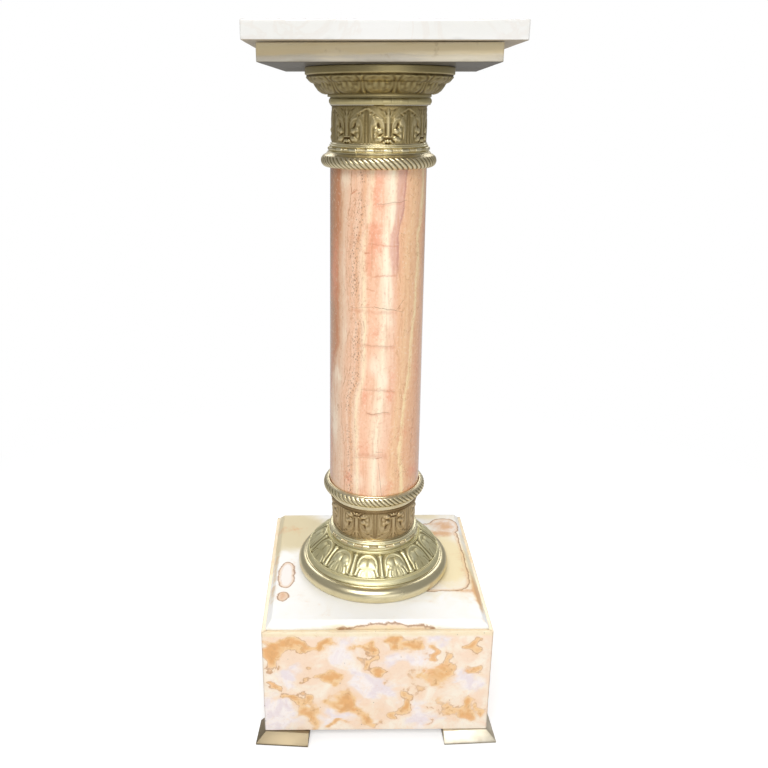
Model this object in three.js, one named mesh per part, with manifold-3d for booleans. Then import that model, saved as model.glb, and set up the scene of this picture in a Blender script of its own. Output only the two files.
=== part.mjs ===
// Pedestal column stand: onyx slabs, shaft and plinth with bronze castings between them,
// clamped by one iron tie rod. The upper slab turns on the rod's upper end.
// Millimetres, +Z up. The origin is on the floor, under the column, and the plinth faces -Y.
import * as THREE from 'three';
import { ConvexGeometry } from 'three/addons/geometries/ConvexGeometry.js';
import { mergeVertices } from 'three/addons/utils/BufferGeometryUtils.js';
import Module from 'manifold-3d';

const wasm = await Module();
wasm.setup();

// Fits between pieces
const seatGap = 0.3; // under every piece that bears on another
const registerGap = 0.3; // round a casting's register
const socketGap = 0.4; // round the shaft's ends
const rodGap = 1.0; // round the tie rod in its plain holes
const nutGap = 0.3; // rod in its nuts and washers
const runningGap = 0.1; // pivot in its bush
const mitreGap = 0.3; // between the plinth's plates

// Plinth
const plinthSide = 337;
const plateHeight = 176.5;
const plateThickness = 18;
const rimWidth = 6; // of the plates' top edge left showing round the panel
const panelThickness = 12;
const panelChamferWidth = 8;
const panelChamferHeight = 9;
const carrierThickness = 22;
const baseBoardThickness = 24;
const blockSide = 36;
const nutPocketRadius = 28;
const nutPocketDepth = 15;

// Feet
const footHeight = 14.2;
const footLip = 2; // upright edge below the bevel
const footProjection = 13.2;
const footLength = 79;
const shortFootReturn = 49; // the front left foot is cut short along the side
const frontLeftTurn = -4.5; // degrees: two feet have slewed a little on their screws
const frontRightTurn = 2.6;
const footScrewInset = 9; // from the base board's edges
const screwShankRadius = 2.4;
const screwHeadRadius = 5;
const screwHeadHeight = 3;
const screwLength = 30;
const screwSink = 1.5; // head below the foot's underside

// Castings, all turned about the column's axis; a wall is measured out from the bore of its own half
const baseLedge = 11.6; // from the base castings' bore out to the shaft's foot edge
const capitalLedge = 8.3; // from the capital castings' bore out to the shaft's top edge
const registerDepth = 3;
const registerWall = 3.7;
const footRingHeight = 23.4;
const footRingWall = 8.3; // from the bore to the centre line of the torus
const torusRadius = 12.5;
const torusCentreRadius = 108.3;
const torusCentreHeight = 9.8;
const bellHeight = 36.9;
const bellFootRadius = 107.5;
const bellLipHeight = 1.5;
const bellNeckWall = 12.5;
const bellWall = 6;
const leafFootRadius = 104.6;
const leafFootHeight = 11.9; // the leaf slope starts here, above the cavetto
const leafTopWall = 16.5;
const leafTopHeight = 36.3;
const baseDrumHeight = 68.6;
const baseFriezeWall = 8.5;
const baseFriezeFoot = 16.4;
const baseFriezeTop = 62.1;
const baseDrumFilletWall = 10.5;
const baseReelRadius = 3.4;
const baseReelCentreWall = 10;
const baseReelHeight = 6.5;
const baseAstragalRadius = 1.9;
const baseAstragalCentreWall = 10.4;
const baseAstragalHeight = 11.9;
const ropeRadius = 8.7;
const baseRopeWall = 0.4; // from the socket to the centre of the rope
const capitalRopeWall = 3.7;
const ropeShoulder = 50; // degrees above the horizontal at which the strands stop
const ropeShoulderRise = 2.2;
const baseRopeHeight = 26;
const baseRopeCentreHeight = 17.1;
const baseLedgeThickness = 10;
const capitalRopeHeight = 19.3;
const capitalSocketDepth = 14;
const capitalDrumHeight = 59.7;
const capitalDrumFootWall = 12;
const capitalReelRadius = 2.8;
const capitalReelCentreWall = 9;
const capitalReelHeight = 4.4;
const capitalFriezeWall = 7.4;
const capitalFriezeFoot = 12.5;
const neckRingHeight = 9.7;
const neckRingWall = 10.9;
const neckRingPlay = 1.5; // bore over the register that passes through it
const neckRingShift = 1.1; // the ring sits this far off centre, towards +X
const flareHeight = 36.3;
const flareFilletWall = 11.5;
const flareFilletHeight = 3.5;
const flareLeafFoot = [14, 4]; // [wall, height] of the points of the leaf band
const flareLeafTop = [29.8, 17.7];
const flareRimFoot = [32.5, 18.6];
const flareRimTop = [41.3, 27.7];
const flareWall = 6;
const flareLand = 9; // width of the top face under the lower slab

// Shaft
const shaftLength = 496.5;
const shaftFootRadius = 69.6;
const shaftTopRadius = 66.3;
const shaftBore = 11;
const packingThickness = 1.5;
const packingInset = 3; // packing's edge inside the shaft's edge

// Slabs
const lowerSlabSide = 285;
const lowerSlabThickness = 21.3;
const lowerSlabTurn = -3.3; // degrees, as the slab sits in the photograph
const topSlabSide = 324;
const topSlabThickness = 21.8;
const topSlabTurn = -1.1;
const slabGap = 0.6; // between the two slabs, carried by the bearing ring

// Tie rod, pivot and fasteners
const rodRadius = 7;
const pivotRadius = 6;
const pivotLength = 11; // in the bush
const bushOuterRadius = 10;
const bushLength = 13;
const bearingInnerRadius = 34;
const bearingOuterRadius = 52;
const bearingThickness = 2;
const slabPocketRadius = 30;
const slabPocketDepth = 14;
const nutHeight = 8;
const nutAcrossCorners = 27;
const washerRadius = 24;
const washerThickness = 3;
const rodTail = 2; // rod past the lower nut

// Facets
const roundSides = 40;
const smallSides = 24;
const arcSteps = 3;

// Heights of the stack, from the floor up
const plinthFoot = footHeight + seatGap;
const plinthTop = plinthFoot + plateHeight;
const panelFoot = plinthTop + seatGap;
const panelTop = panelFoot + panelThickness;
const footRingBore = torusCentreRadius - footRingWall;
const footRingFoot = panelTop + seatGap;
const bellFoot = footRingFoot + footRingHeight + seatGap;
const baseDrumFoot = bellFoot + bellHeight + seatGap;
const baseRopeFoot = baseDrumFoot + baseDrumHeight + seatGap;
const bottomPackingFoot = baseRopeFoot + baseLedgeThickness + seatGap;
const shaftFoot = bottomPackingFoot + packingThickness + seatGap;
const shaftTop = shaftFoot + shaftLength;
const topPackingFoot = shaftTop + seatGap;
const capitalLedgeFoot = topPackingFoot + packingThickness + seatGap;
const capitalRopeFoot = capitalLedgeFoot - capitalSocketDepth;
const capitalDrumFoot = capitalRopeFoot + capitalRopeHeight + seatGap;
const neckRingFoot = capitalDrumFoot + capitalDrumHeight + seatGap;
const flareFoot = neckRingFoot + neckRingHeight + seatGap;
const lowerSlabFoot = flareFoot + flareHeight + seatGap;
const lowerSlabTop = lowerSlabFoot + lowerSlabThickness;
const topSlabFoot = lowerSlabTop + slabGap;
const bottomNutFoot = plinthFoot + nutPocketDepth - 2 * seatGap - washerThickness - nutHeight;
const topWasherFoot = lowerSlabTop - slabPocketDepth + seatGap;
const topNutFoot = topWasherFoot + washerThickness + seatGap;
const pivotFoot = topNutFoot + nutHeight;

// Materials
const finishes = {
  whiteOnyx: { color: 0xe9e6df, roughness: 0.25, metalness: 0 },
  pinkOnyx: { color: 0xdcae95, roughness: 0.2, metalness: 0 },
  caramelOnyx: { color: 0xe3c3a6, roughness: 0.22, metalness: 0 },
  bronze: { color: 0x8a7b4c, roughness: 0.38, metalness: 1 },
  brass: { color: 0xb9a878, roughness: 0.35, metalness: 1 },
  iron: { color: 0x4a4643, roughness: 0.6, metalness: 0.9 },
  wood: { color: 0x9a7650, roughness: 0.8, metalness: 0 },
  felt: { color: 0x5b5a52, roughness: 0.95, metalness: 0 },
};

// Turning geometry into solids and back, for cuts and joins
function asSolid(geometry) {
  const bare = geometry.clone();
  bare.deleteAttribute('normal');
  bare.deleteAttribute('uv');
  const merged = mergeVertices(bare, 1e-4);
  const corners = merged.index.array;
  const triangles = [];
  for (let i = 0; i < corners.length; i += 3) {
    const [a, b, c] = [corners[i], corners[i + 1], corners[i + 2]];
    if (a !== b && b !== c && c !== a) triangles.push(a, b, c);
  }
  return new wasm.Manifold(new wasm.Mesh({
    numProp: 3,
    vertProperties: Float32Array.from(merged.attributes.position.array),
    triVerts: Uint32Array.from(triangles),
  }));
}

function asGeometry(solid) {
  const mesh = solid.getMesh();
  const geometry = new THREE.BufferGeometry();
  geometry.setAttribute('position', new THREE.BufferAttribute(mesh.vertProperties, mesh.numProp));
  geometry.setIndex(new THREE.BufferAttribute(mesh.triVerts, 1));
  geometry.computeVertexNormals();
  return geometry;
}

function cut(geometry, ...tools) {
  let solid = asSolid(geometry);
  for (const tool of tools) solid = solid.subtract(asSolid(tool));
  return asGeometry(solid);
}

// An upright cylinder from one height to another
function cylinder(radius, foot, top, sides = smallSides) {
  const geometry = new THREE.CylinderGeometry(radius, radius, top - foot, sides);
  geometry.rotateX(Math.PI / 2);
  geometry.translate(0, 0, (foot + top) / 2);
  return geometry;
}

// A square slab centred on the axis
function slab(side, foot, thickness) {
  const geometry = new THREE.BoxGeometry(side, side, thickness);
  geometry.translate(0, 0, foot + thickness / 2);
  return geometry;
}

// A ring with plain walls
function ring(innerRadius, outerRadius, foot, height, sides = smallSides) {
  const outline = [
    [innerRadius, foot],
    [outerRadius, foot],
    [outerRadius, foot + height],
    [innerRadius, foot + height],
    [innerRadius, foot],
  ].map(([r, z]) => new THREE.Vector2(r, z));
  const geometry = new THREE.LatheGeometry(outline, sides);
  geometry.rotateX(Math.PI / 2);
  return geometry;
}

// A closed outline of [radius, height] corners and arcs, turned about the axis
class Outline {
  constructor(foot) {
    this.foot = foot;
    this.points = [];
  }

  to(...corners) {
    for (const [r, z] of corners) this.points.push(new THREE.Vector2(r, this.foot + z));
    return this;
  }

  // Arc about a centre, from one angle to another, in degrees from the outward direction
  arc(centreRadius, centreHeight, radius, from, to) {
    for (let i = 0; i <= arcSteps * 2; i += 1) {
      const angle = THREE.MathUtils.degToRad(from + (to - from) * (i / (arcSteps * 2)));
      this.to([centreRadius + radius * Math.cos(angle), centreHeight + radius * Math.sin(angle)]);
    }
    return this;
  }

  // Swelling or hollow curve between two corners, bowed sideways by a share of its length
  bow(start, end, share) {
    const run = end[0] - start[0];
    const rise = end[1] - start[1];
    for (let i = 0; i <= arcSteps; i += 1) {
      const t = i / arcSteps;
      const push = share * 4 * t * (1 - t);
      this.to([start[0] + run * t + rise * push, start[1] + rise * t - run * push]);
    }
    return this;
  }

  // Bore of a casting: down from the top, with a register that drops into the piece below
  boreWithRegister(bore, height) {
    const registerRadius = bore - registerGap;
    const neck = registerRadius - registerWall;
    return this.to([bore, height], [bore, registerDepth], [neck, registerDepth],
      [neck, -registerDepth], [registerRadius, -registerDepth], [registerRadius, 0]);
  }

  turned() {
    const closed = [...this.points, this.points[0].clone()];
    const geometry = new THREE.LatheGeometry(closed, roundSides);
    geometry.rotateX(Math.PI / 2);
    return geometry;
  }
}

const stand = new THREE.Group();

function add(name, finish, geometry, parent = stand) {
  const mesh = new THREE.Mesh(geometry, new THREE.MeshStandardMaterial(finishes[finish]));
  mesh.name = name;
  parent.add(mesh);
  return mesh;
}

// Corners of the plinth, as signs of X and Y
const corners = {
  front_left: [-1, -1],
  front_right: [1, -1],
  back_left: [-1, 1],
  back_right: [1, 1],
};

// The four plates of the plinth, mitred at the corners
function plinthPlate() {
  const half = plinthSide / 2;
  const outer = half - mitreGap / 2;
  const inner = outer - plateThickness;
  const shape = new THREE.Shape();
  shape.moveTo(-outer, -half);
  shape.lineTo(outer, -half);
  shape.lineTo(inner, -half + plateThickness);
  shape.lineTo(-inner, -half + plateThickness);
  const geometry = new THREE.ExtrudeGeometry(shape, { depth: plateHeight, bevelEnabled: false });
  geometry.translate(0, 0, plinthFoot);
  return geometry;
}

const plateTurns = { front: 0, right: 90, back: 180, left: 270 };
for (const [side, degrees] of Object.entries(plateTurns)) {
  const plate = add(`plinth_${side}_plate`, 'caramelOnyx', plinthPlate());
  plate.rotation.z = THREE.MathUtils.degToRad(degrees);
}

// Square points at a height, for hulls
function squarePoints(half, z) {
  return Object.values(corners).map(([x, y]) => new THREE.Vector3(x * half, y * half, z));
}

// Raised panel with a chamfered edge
const panelHalf = plinthSide / 2 - rimWidth;
const panelBlank = new ConvexGeometry([
  ...squarePoints(panelHalf, panelFoot),
  ...squarePoints(panelHalf, panelTop - panelChamferHeight),
  ...squarePoints(panelHalf - panelChamferWidth, panelTop),
]);
const rodHoleRadius = rodRadius + rodGap;
add('plinth_panel', 'whiteOnyx',
  cut(panelBlank, cylinder(rodHoleRadius, panelFoot - 1, panelTop + 1)));

// Boards and blocks inside the plates
const boardSide = plinthSide - 2 * (plateThickness + seatGap);
const carrierFoot = plinthTop - carrierThickness;
const baseBoardTop = plinthFoot + baseBoardThickness;
add('carrier_board', 'wood', cut(
  slab(boardSide, carrierFoot, carrierThickness),
  cylinder(rodHoleRadius, carrierFoot - 1, plinthTop + 1),
));

const blockFoot = baseBoardTop + seatGap;
const blockHeight = carrierFoot - seatGap - blockFoot;
const blockPlace = (boardSide - blockSide) / 2;
for (const [place, [x, y]] of Object.entries(corners)) {
  const block = add(`corner_block_${place}`, 'wood',
    new THREE.BoxGeometry(blockSide, blockSide, blockHeight));
  block.position.set(x * blockPlace, y * blockPlace, blockFoot + blockHeight / 2);
}

// Screws stand on the same diagonal in feet and board
const screwPlace = boardSide / 2 - footScrewInset;
const screwFoot = screwSink;
const screwTop = screwFoot + screwLength;

function screwHoles(radius, foot, top) {
  return Object.values(corners).map(([x, y]) => {
    const hole = cylinder(radius, foot, top, smallSides / 2);
    hole.translate(x * screwPlace, y * screwPlace, 0);
    return hole;
  });
}

add('base_board', 'wood', cut(
  slab(boardSide, plinthFoot, baseBoardThickness),
  cylinder(rodHoleRadius, plinthFoot - 1, baseBoardTop + 1),
  cylinder(nutPocketRadius, plinthFoot - 1, plinthFoot + nutPocketDepth, roundSides),
  ...screwHoles(screwShankRadius + seatGap, plinthFoot - 1, screwTop + 1),
));

// Countersunk screw, point up
function footScrew() {
  const outline = [
    [0, screwFoot],
    [screwHeadRadius, screwFoot],
    [screwShankRadius, screwFoot + screwHeadHeight],
    [screwShankRadius, screwTop - screwShankRadius * 2],
    [0, screwTop],
  ].map(([r, z]) => new THREE.Vector2(r, z));
  const geometry = new THREE.LatheGeometry(outline, smallSides / 2);
  geometry.rotateX(Math.PI / 2);
  return geometry;
}

// Screw hole with its countersink, wider than the screw by the seat gap
function footHole() {
  const sinkRadius = screwHeadRadius + seatGap;
  const shankRadius = screwShankRadius + seatGap;
  const outline = [
    [0, -1],
    [sinkRadius, -1],
    [sinkRadius, screwFoot],
    [shankRadius, screwFoot + screwHeadHeight],
    [shankRadius, footHeight + 1],
    [0, footHeight + 1],
  ].map(([r, z]) => new THREE.Vector2(r, z));
  const geometry = new THREE.LatheGeometry(outline, smallSides / 2);
  geometry.rotateX(Math.PI / 2);
  return geometry;
}

// Bevelled corner foot. Its outer corner is at the origin and it runs inwards along both signs.
function footBlank(x, y, returnLength) {
  const points = [];
  for (const [inset, z] of [[0, 0], [0, footLip], [footProjection, footHeight]]) {
    for (const u of [inset, footLength]) {
      for (const v of [inset, returnLength]) points.push(new THREE.Vector3(-x * u, -y * v, z));
    }
  }
  return new ConvexGeometry(points);
}

const footCorner = plinthSide / 2 + footProjection;
const footTurns = { front_left: frontLeftTurn, front_right: frontRightTurn };
const footReturns = { front_left: shortFootReturn };
for (const [place, [x, y]] of Object.entries(corners)) {
  const blank = footBlank(x, y, footReturns[place] ?? footLength);
  blank.rotateZ(THREE.MathUtils.degToRad(footTurns[place] ?? 0));
  blank.translate(x * footCorner, y * footCorner, 0);
  const hole = footHole();
  hole.translate(x * screwPlace, y * screwPlace, 0);
  add(`foot_${place}`, 'brass', cut(blank, hole));
  const screw = add(`foot_screw_${place}`, 'iron', footScrew());
  screw.position.set(x * screwPlace, y * screwPlace, 0);
}

// Base castings
const torusStart = -THREE.MathUtils.radToDeg(Math.asin(torusCentreHeight / torusRadius));
add('base_foot_ring', 'bronze', new Outline(footRingFoot)
  .to([footRingBore, 0])
  .arc(torusCentreRadius, torusCentreHeight, torusRadius, torusStart, 90)
  .to([torusCentreRadius, footRingHeight], [footRingBore, footRingHeight])
  .turned());

const baseBore = shaftFootRadius - baseLedge;
const bellRegister = footRingBore - registerGap;
const leafTopRadius = baseBore + leafTopWall;
add('base_bell', 'bronze', new Outline(bellFoot)
  .to([bellRegister, 0], [bellFootRadius, 0])
  .bow([bellFootRadius, bellLipHeight], [leafFootRadius, leafFootHeight - 2], -0.12)
  .bow([leafFootRadius, leafFootHeight], [leafTopRadius, leafTopHeight], 0.04)
  .to([baseBore + bellNeckWall, bellHeight], [baseBore, bellHeight])
  .to([baseBore, bellHeight - bellWall], [leafTopRadius - bellWall, bellHeight - 2 * bellWall])
  .to([bellRegister - registerWall, bellWall / 2], [bellRegister - registerWall, -registerDepth])
  .to([bellRegister, -registerDepth])
  .turned());

const baseReelCentreRadius = baseBore + baseReelCentreWall;
const baseFriezeRadius = baseBore + baseFriezeWall;
const baseDrumFilletRadius = baseBore + baseDrumFilletWall;
add('base_drum', 'bronze', new Outline(baseDrumFoot)
  .to([baseReelCentreRadius, 0])
  .arc(baseReelCentreRadius, baseReelHeight, baseReelRadius, -90, 90)
  .arc(baseBore + baseAstragalCentreWall, baseAstragalHeight, baseAstragalRadius, -90, 90)
  .to([baseFriezeRadius, baseFriezeFoot], [baseFriezeRadius, baseFriezeTop])
  .to([baseDrumFilletRadius, baseFriezeTop + 1], [baseDrumFilletRadius, baseDrumHeight])
  .boreWithRegister(baseBore, baseDrumHeight)
  .turned());

// Rope rings: the strands' round, then a smooth shoulder up to the top or the shaft
const shoulderAngle = THREE.MathUtils.degToRad(ropeShoulder);
const shoulderReach = ropeRadius * Math.cos(shoulderAngle) - ropeShoulderRise;
const baseSocket = shaftFootRadius + socketGap;
const baseRopeCentreRadius = baseSocket + baseRopeWall;
add('base_rope_ring', 'bronze', new Outline(baseRopeFoot)
  .to([baseDrumFilletRadius, 0])
  .arc(baseRopeCentreRadius, baseRopeCentreHeight, ropeRadius, -80, ropeShoulder)
  .to([baseRopeCentreRadius + shoulderReach, baseRopeHeight], [baseSocket, baseRopeHeight])
  .to([baseSocket, baseLedgeThickness])
  .boreWithRegister(baseBore, baseLedgeThickness)
  .turned());

// Shaft and its packing
add('shaft', 'pinkOnyx', new Outline(shaftFoot)
  .to([shaftBore, 0], [shaftFootRadius, 0], [shaftTopRadius, shaftLength], [shaftBore, shaftLength])
  .turned());
add('bottom_packing', 'felt',
  ring(baseBore + packingInset, shaftFootRadius - packingInset, bottomPackingFoot,
    packingThickness, roundSides));
const capitalBore = shaftTopRadius - capitalLedge;
add('top_packing', 'felt',
  ring(capitalBore + packingInset, shaftTopRadius - packingInset / 2, topPackingFoot,
    packingThickness, roundSides));

// Capital castings
const capitalSocket = shaftTopRadius + socketGap;
const capitalRegister = capitalBore - registerGap - registerWall;
const capitalRopeCentreRadius = capitalSocket + capitalRopeWall;
add('capital_rope_ring', 'bronze', new Outline(capitalRopeFoot)
  .to([capitalSocket, 0])
  .arc(capitalRopeCentreRadius, ropeRadius, ropeRadius, -90, ropeShoulder)
  .to([capitalRopeCentreRadius + shoulderReach, capitalRopeHeight], [capitalBore, capitalRopeHeight])
  .to([capitalBore, capitalSocketDepth], [capitalSocket, capitalSocketDepth])
  .turned());

const capitalReelCentreRadius = capitalBore + capitalReelCentreWall;
const capitalFriezeRadius = capitalBore + capitalFriezeWall;
add('capital_drum', 'bronze', new Outline(capitalDrumFoot)
  .to([capitalBore + capitalDrumFootWall, 0], [capitalReelCentreRadius + 1, 1])
  .arc(capitalReelCentreRadius, capitalReelHeight, capitalReelRadius, -80, 90)
  .to([capitalFriezeRadius, capitalFriezeFoot], [capitalFriezeRadius, capitalDrumHeight])
  .boreWithRegister(capitalBore, capitalDrumHeight)
  .turned());

const neckBore = capitalBore + neckRingPlay;
const neckBead = neckRingHeight / 2;
const neckBeadCentreRadius = capitalBore + neckRingWall - neckBead;
const neckRing = add('capital_neck_ring', 'bronze', new Outline(neckRingFoot)
  .to([neckBore, 0])
  .arc(neckBeadCentreRadius, neckBead, neckBead, -90, 90)
  .to([neckBore, neckRingHeight])
  .turned());
neckRing.position.x = neckRingShift;

// The flare's register passes through the neck ring into the drum
const flareRegisterDepth = neckRingHeight + seatGap + registerDepth;
const overBore = ([wall, height]) => [capitalBore + wall, height];
const flareFilletRadius = capitalBore + flareFilletWall;
const [flareRimRadius] = overBore(flareRimTop);
const [flareLeafFootRadius] = overBore(flareLeafFoot);
const flareLandRadius = flareRimRadius - flareLand;
const flareWaist = flareLeafTop[1] / 2; // height at which the inside starts to open out
add('capital_flare', 'bronze', new Outline(flareFoot)
  .to([flareFilletRadius, 0], [flareFilletRadius, flareFilletHeight])
  .bow(overBore(flareLeafFoot), overBore(flareLeafTop), 0.16)
  .bow(overBore(flareRimFoot), overBore(flareRimTop), 0.1)
  .to([flareRimRadius, flareHeight], [flareLandRadius, flareHeight])
  .to([flareLandRadius, flareRimTop[1]], [flareLeafFootRadius - flareWall / 2, flareWaist + 1])
  .to([capitalBore, flareWaist], [capitalBore, registerDepth])
  .to([capitalRegister, registerDepth], [capitalRegister, -flareRegisterDepth])
  .to([capitalBore - registerGap, -flareRegisterDepth], [capitalBore - registerGap, 0])
  .turned());

// Lower slab, with a step for the bearing ring and a pocket for the upper nut
const bearingSeat = lowerSlabTop + slabGap - seatGap - bearingThickness - seatGap;
const lowerSlab = add('lower_slab', 'whiteOnyx', cut(
  slab(lowerSlabSide, lowerSlabFoot, lowerSlabThickness),
  cylinder(rodHoleRadius, lowerSlabFoot - 1, lowerSlabTop + 1),
  cylinder(slabPocketRadius, lowerSlabTop - slabPocketDepth, lowerSlabTop + 1, roundSides),
  cylinder(bearingOuterRadius + seatGap, bearingSeat, lowerSlabTop + 1, roundSides),
));
lowerSlab.rotation.z = THREE.MathUtils.degToRad(lowerSlabTurn);
add('bearing_ring', 'brass', ring(bearingInnerRadius, bearingOuterRadius, bearingSeat + seatGap,
  bearingThickness, roundSides));

// Upper slab and the bush in its blind hole, turning together
const topBody = new THREE.Group();
topBody.rotation.z = THREE.MathUtils.degToRad(topSlabTurn);
stand.add(topBody);
const bushTop = topSlabFoot + bushLength;
add('top_slab', 'whiteOnyx', cut(
  slab(topSlabSide, topSlabFoot, topSlabThickness),
  cylinder(bushOuterRadius + seatGap, topSlabFoot - 1, bushTop + seatGap),
), topBody);
add('pivot_bush', 'brass',
  ring(pivotRadius + runningGap, bushOuterRadius, topSlabFoot, bushLength, roundSides), topBody);

// Tie rod, its upper end turned down as the pivot
const rodFoot = bottomNutFoot - rodTail;
const rodOutline = [
  [0, rodFoot],
  [rodRadius, rodFoot],
  [rodRadius, pivotFoot],
  [pivotRadius, pivotFoot],
  [pivotRadius, topSlabFoot + pivotLength],
  [0, topSlabFoot + pivotLength],
].map(([r, z]) => new THREE.Vector2(r, z));
const rod = new THREE.LatheGeometry(rodOutline, roundSides);
rod.rotateX(Math.PI / 2);
add('tie_rod', 'iron', rod);

function nut(foot) {
  const blank = cylinder(nutAcrossCorners / 2, foot, foot + nutHeight, 6);
  return cut(blank, cylinder(rodRadius + nutGap, foot - 1, foot + nutHeight + 1, roundSides));
}

add('bottom_nut', 'iron', nut(bottomNutFoot));
add('bottom_washer', 'iron', ring(rodRadius + nutGap, washerRadius,
  bottomNutFoot + nutHeight + seatGap, washerThickness, roundSides));
add('top_nut', 'iron', nut(topNutFoot));
add('top_washer', 'iron', ring(rodRadius + nutGap, washerRadius, topWasherFoot,
  washerThickness, roundSides));

export default stand;
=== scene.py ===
import math

import bmesh
import bpy
import numpy as np
from mathutils import Matrix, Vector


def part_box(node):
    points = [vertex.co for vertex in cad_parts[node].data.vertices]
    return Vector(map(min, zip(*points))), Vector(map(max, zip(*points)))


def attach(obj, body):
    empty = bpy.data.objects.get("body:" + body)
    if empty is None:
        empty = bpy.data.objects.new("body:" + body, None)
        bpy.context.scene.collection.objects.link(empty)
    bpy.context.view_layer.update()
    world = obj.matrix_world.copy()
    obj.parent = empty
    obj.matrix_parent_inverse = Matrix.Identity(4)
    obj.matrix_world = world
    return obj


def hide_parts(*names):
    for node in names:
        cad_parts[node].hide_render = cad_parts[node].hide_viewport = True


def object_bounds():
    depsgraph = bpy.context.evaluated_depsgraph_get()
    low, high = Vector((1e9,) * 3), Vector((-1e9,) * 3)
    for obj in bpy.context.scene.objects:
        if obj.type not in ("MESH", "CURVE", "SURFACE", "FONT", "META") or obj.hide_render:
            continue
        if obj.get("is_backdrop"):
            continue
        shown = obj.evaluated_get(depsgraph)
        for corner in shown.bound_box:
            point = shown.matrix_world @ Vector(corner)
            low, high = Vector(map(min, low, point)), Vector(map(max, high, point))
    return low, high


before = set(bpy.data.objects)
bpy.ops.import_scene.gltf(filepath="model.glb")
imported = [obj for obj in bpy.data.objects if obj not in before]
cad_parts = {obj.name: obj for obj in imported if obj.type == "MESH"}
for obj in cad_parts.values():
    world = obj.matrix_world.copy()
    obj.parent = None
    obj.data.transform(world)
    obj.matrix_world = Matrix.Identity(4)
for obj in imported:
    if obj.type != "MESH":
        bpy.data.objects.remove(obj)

cadBox = [list(corner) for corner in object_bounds()]
mm = 0.001
turn = 2 * math.pi


def heightOf(node, top=False):
    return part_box(node)[1 if top else 0].z / mm


# Meshes:
# Loops of points, one above the other, joined by quads: face (i, j) runs from loop i to loop i + 1.
# The columns always close on themselves; the loops close on each other, or end in flat caps.
def loopFaces(loops, columns, closed, caps, first=0):
    index = first + np.arange(loops * columns).reshape(loops, columns)
    around = np.hstack([index, index[:, :1]])
    if closed:
        around = np.vstack([around, around[:1]])
    quads = np.stack([around[:-1, :-1], around[:-1, 1:], around[1:, 1:], around[1:, :-1]], -1)
    faces = quads.reshape(-1, 4).tolist()
    if caps[0]:
        faces.append(index[0, ::-1].tolist())
    if caps[1]:
        faces.append(index[-1].tolist())
    return faces


# A grid of points in millimetres, one row a loop, with what loopFaces needs and the values it carries
def shell(points, closed=True, caps=(False, False), **values):
    return dict(points=points, closed=closed, caps=caps, values=values)


# A finished mesh as a piece of the scene, in place of the CAD node
def placePiece(mesh, node, finish, body="stand"):
    mesh.polygons.foreach_set("use_smooth", np.ones(len(mesh.polygons), bool))
    mesh.materials.append(finishes[finish])
    piece = bpy.data.objects.new(mesh.name, mesh)
    bpy.context.collection.objects.link(piece)
    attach(piece, body)
    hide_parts(node)
    return piece


# One mesh from several shells
def makePiece(node, kind, slot, finish, *shells, body="stand"):
    points, faces, values = [], [], {}
    for part in shells:
        grid = part["points"]
        faces += loopFaces(*grid.shape[:2], part["closed"], part["caps"], sum(len(p) for p in points))
        points.append(grid.reshape(-1, 3))
        for key, value in part["values"].items():
            values.setdefault(key, []).append(np.broadcast_to(value, grid.shape[:2]).ravel())
    mesh = bpy.data.meshes.new(f"{node}_{kind}")
    mesh.from_pydata(np.concatenate(points) * mm, [], faces)
    for key, parts in values.items():
        layer = mesh.attributes.new(key, "FLOAT", "POINT")
        layer.data.foreach_set("value", np.concatenate(parts).astype(np.float32))
    placePiece(mesh, node, finish, body)


# Points along a straight line, and along an arc by its degrees
def line(start, end, count):
    share = np.linspace(0, 1, count)[:, None]
    return np.array(start) + (np.array(end) - np.array(start)) * share


def arc(centre, radius, start, end, count):
    angle = np.radians(np.linspace(start, end, count))[:, None]
    return np.array(centre) + radius * np.hstack([np.cos(angle), np.sin(angle)])


# Smooth line along control points: corners cut a few times, then equal steps
def smoothLine(points, step=0.35, rounds=4):
    path = np.array(points, float)
    for _ in range(rounds):
        cut = np.stack([0.75 * path[:-1] + 0.25 * path[1:], 0.25 * path[:-1] + 0.75 * path[1:]], 1)
        path = np.vstack([path[:1], cut.reshape(-1, 2), path[-1:]])
    run = np.append(0, np.cumsum(np.hypot(*np.diff(path, axis=0).T)))
    at = np.linspace(0, run[-1], max(3, int(run[-1] / step)))
    return np.stack([np.interp(at, run, path[:, k]) for k in (0, 1)], -1)


# A closed profile of [radius, height] turned about the axis. Each point moves out along the profile's
# normal by the lift of its row and column. Angle 0 faces -Y and runs towards +X, which is
# counterclockwise from above.
def turned(profile, lift, phase, foot, angles=None):
    if angles is None:
        angles = np.arange(lift.shape[1]) / lift.shape[1] * turn
    angle = angles + math.radians(phase)
    run = np.roll(profile, -1, 0) - np.roll(profile, 1, 0)
    run /= np.maximum(np.hypot(*run.T), 1e-9)[:, None]
    radius = profile[:, :1] + run[:, 1:] * lift
    height = profile[:, 1:] - run[:, :1] * lift + foot
    return np.stack([radius * np.sin(angle), -radius * np.cos(angle), height], -1)


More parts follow.
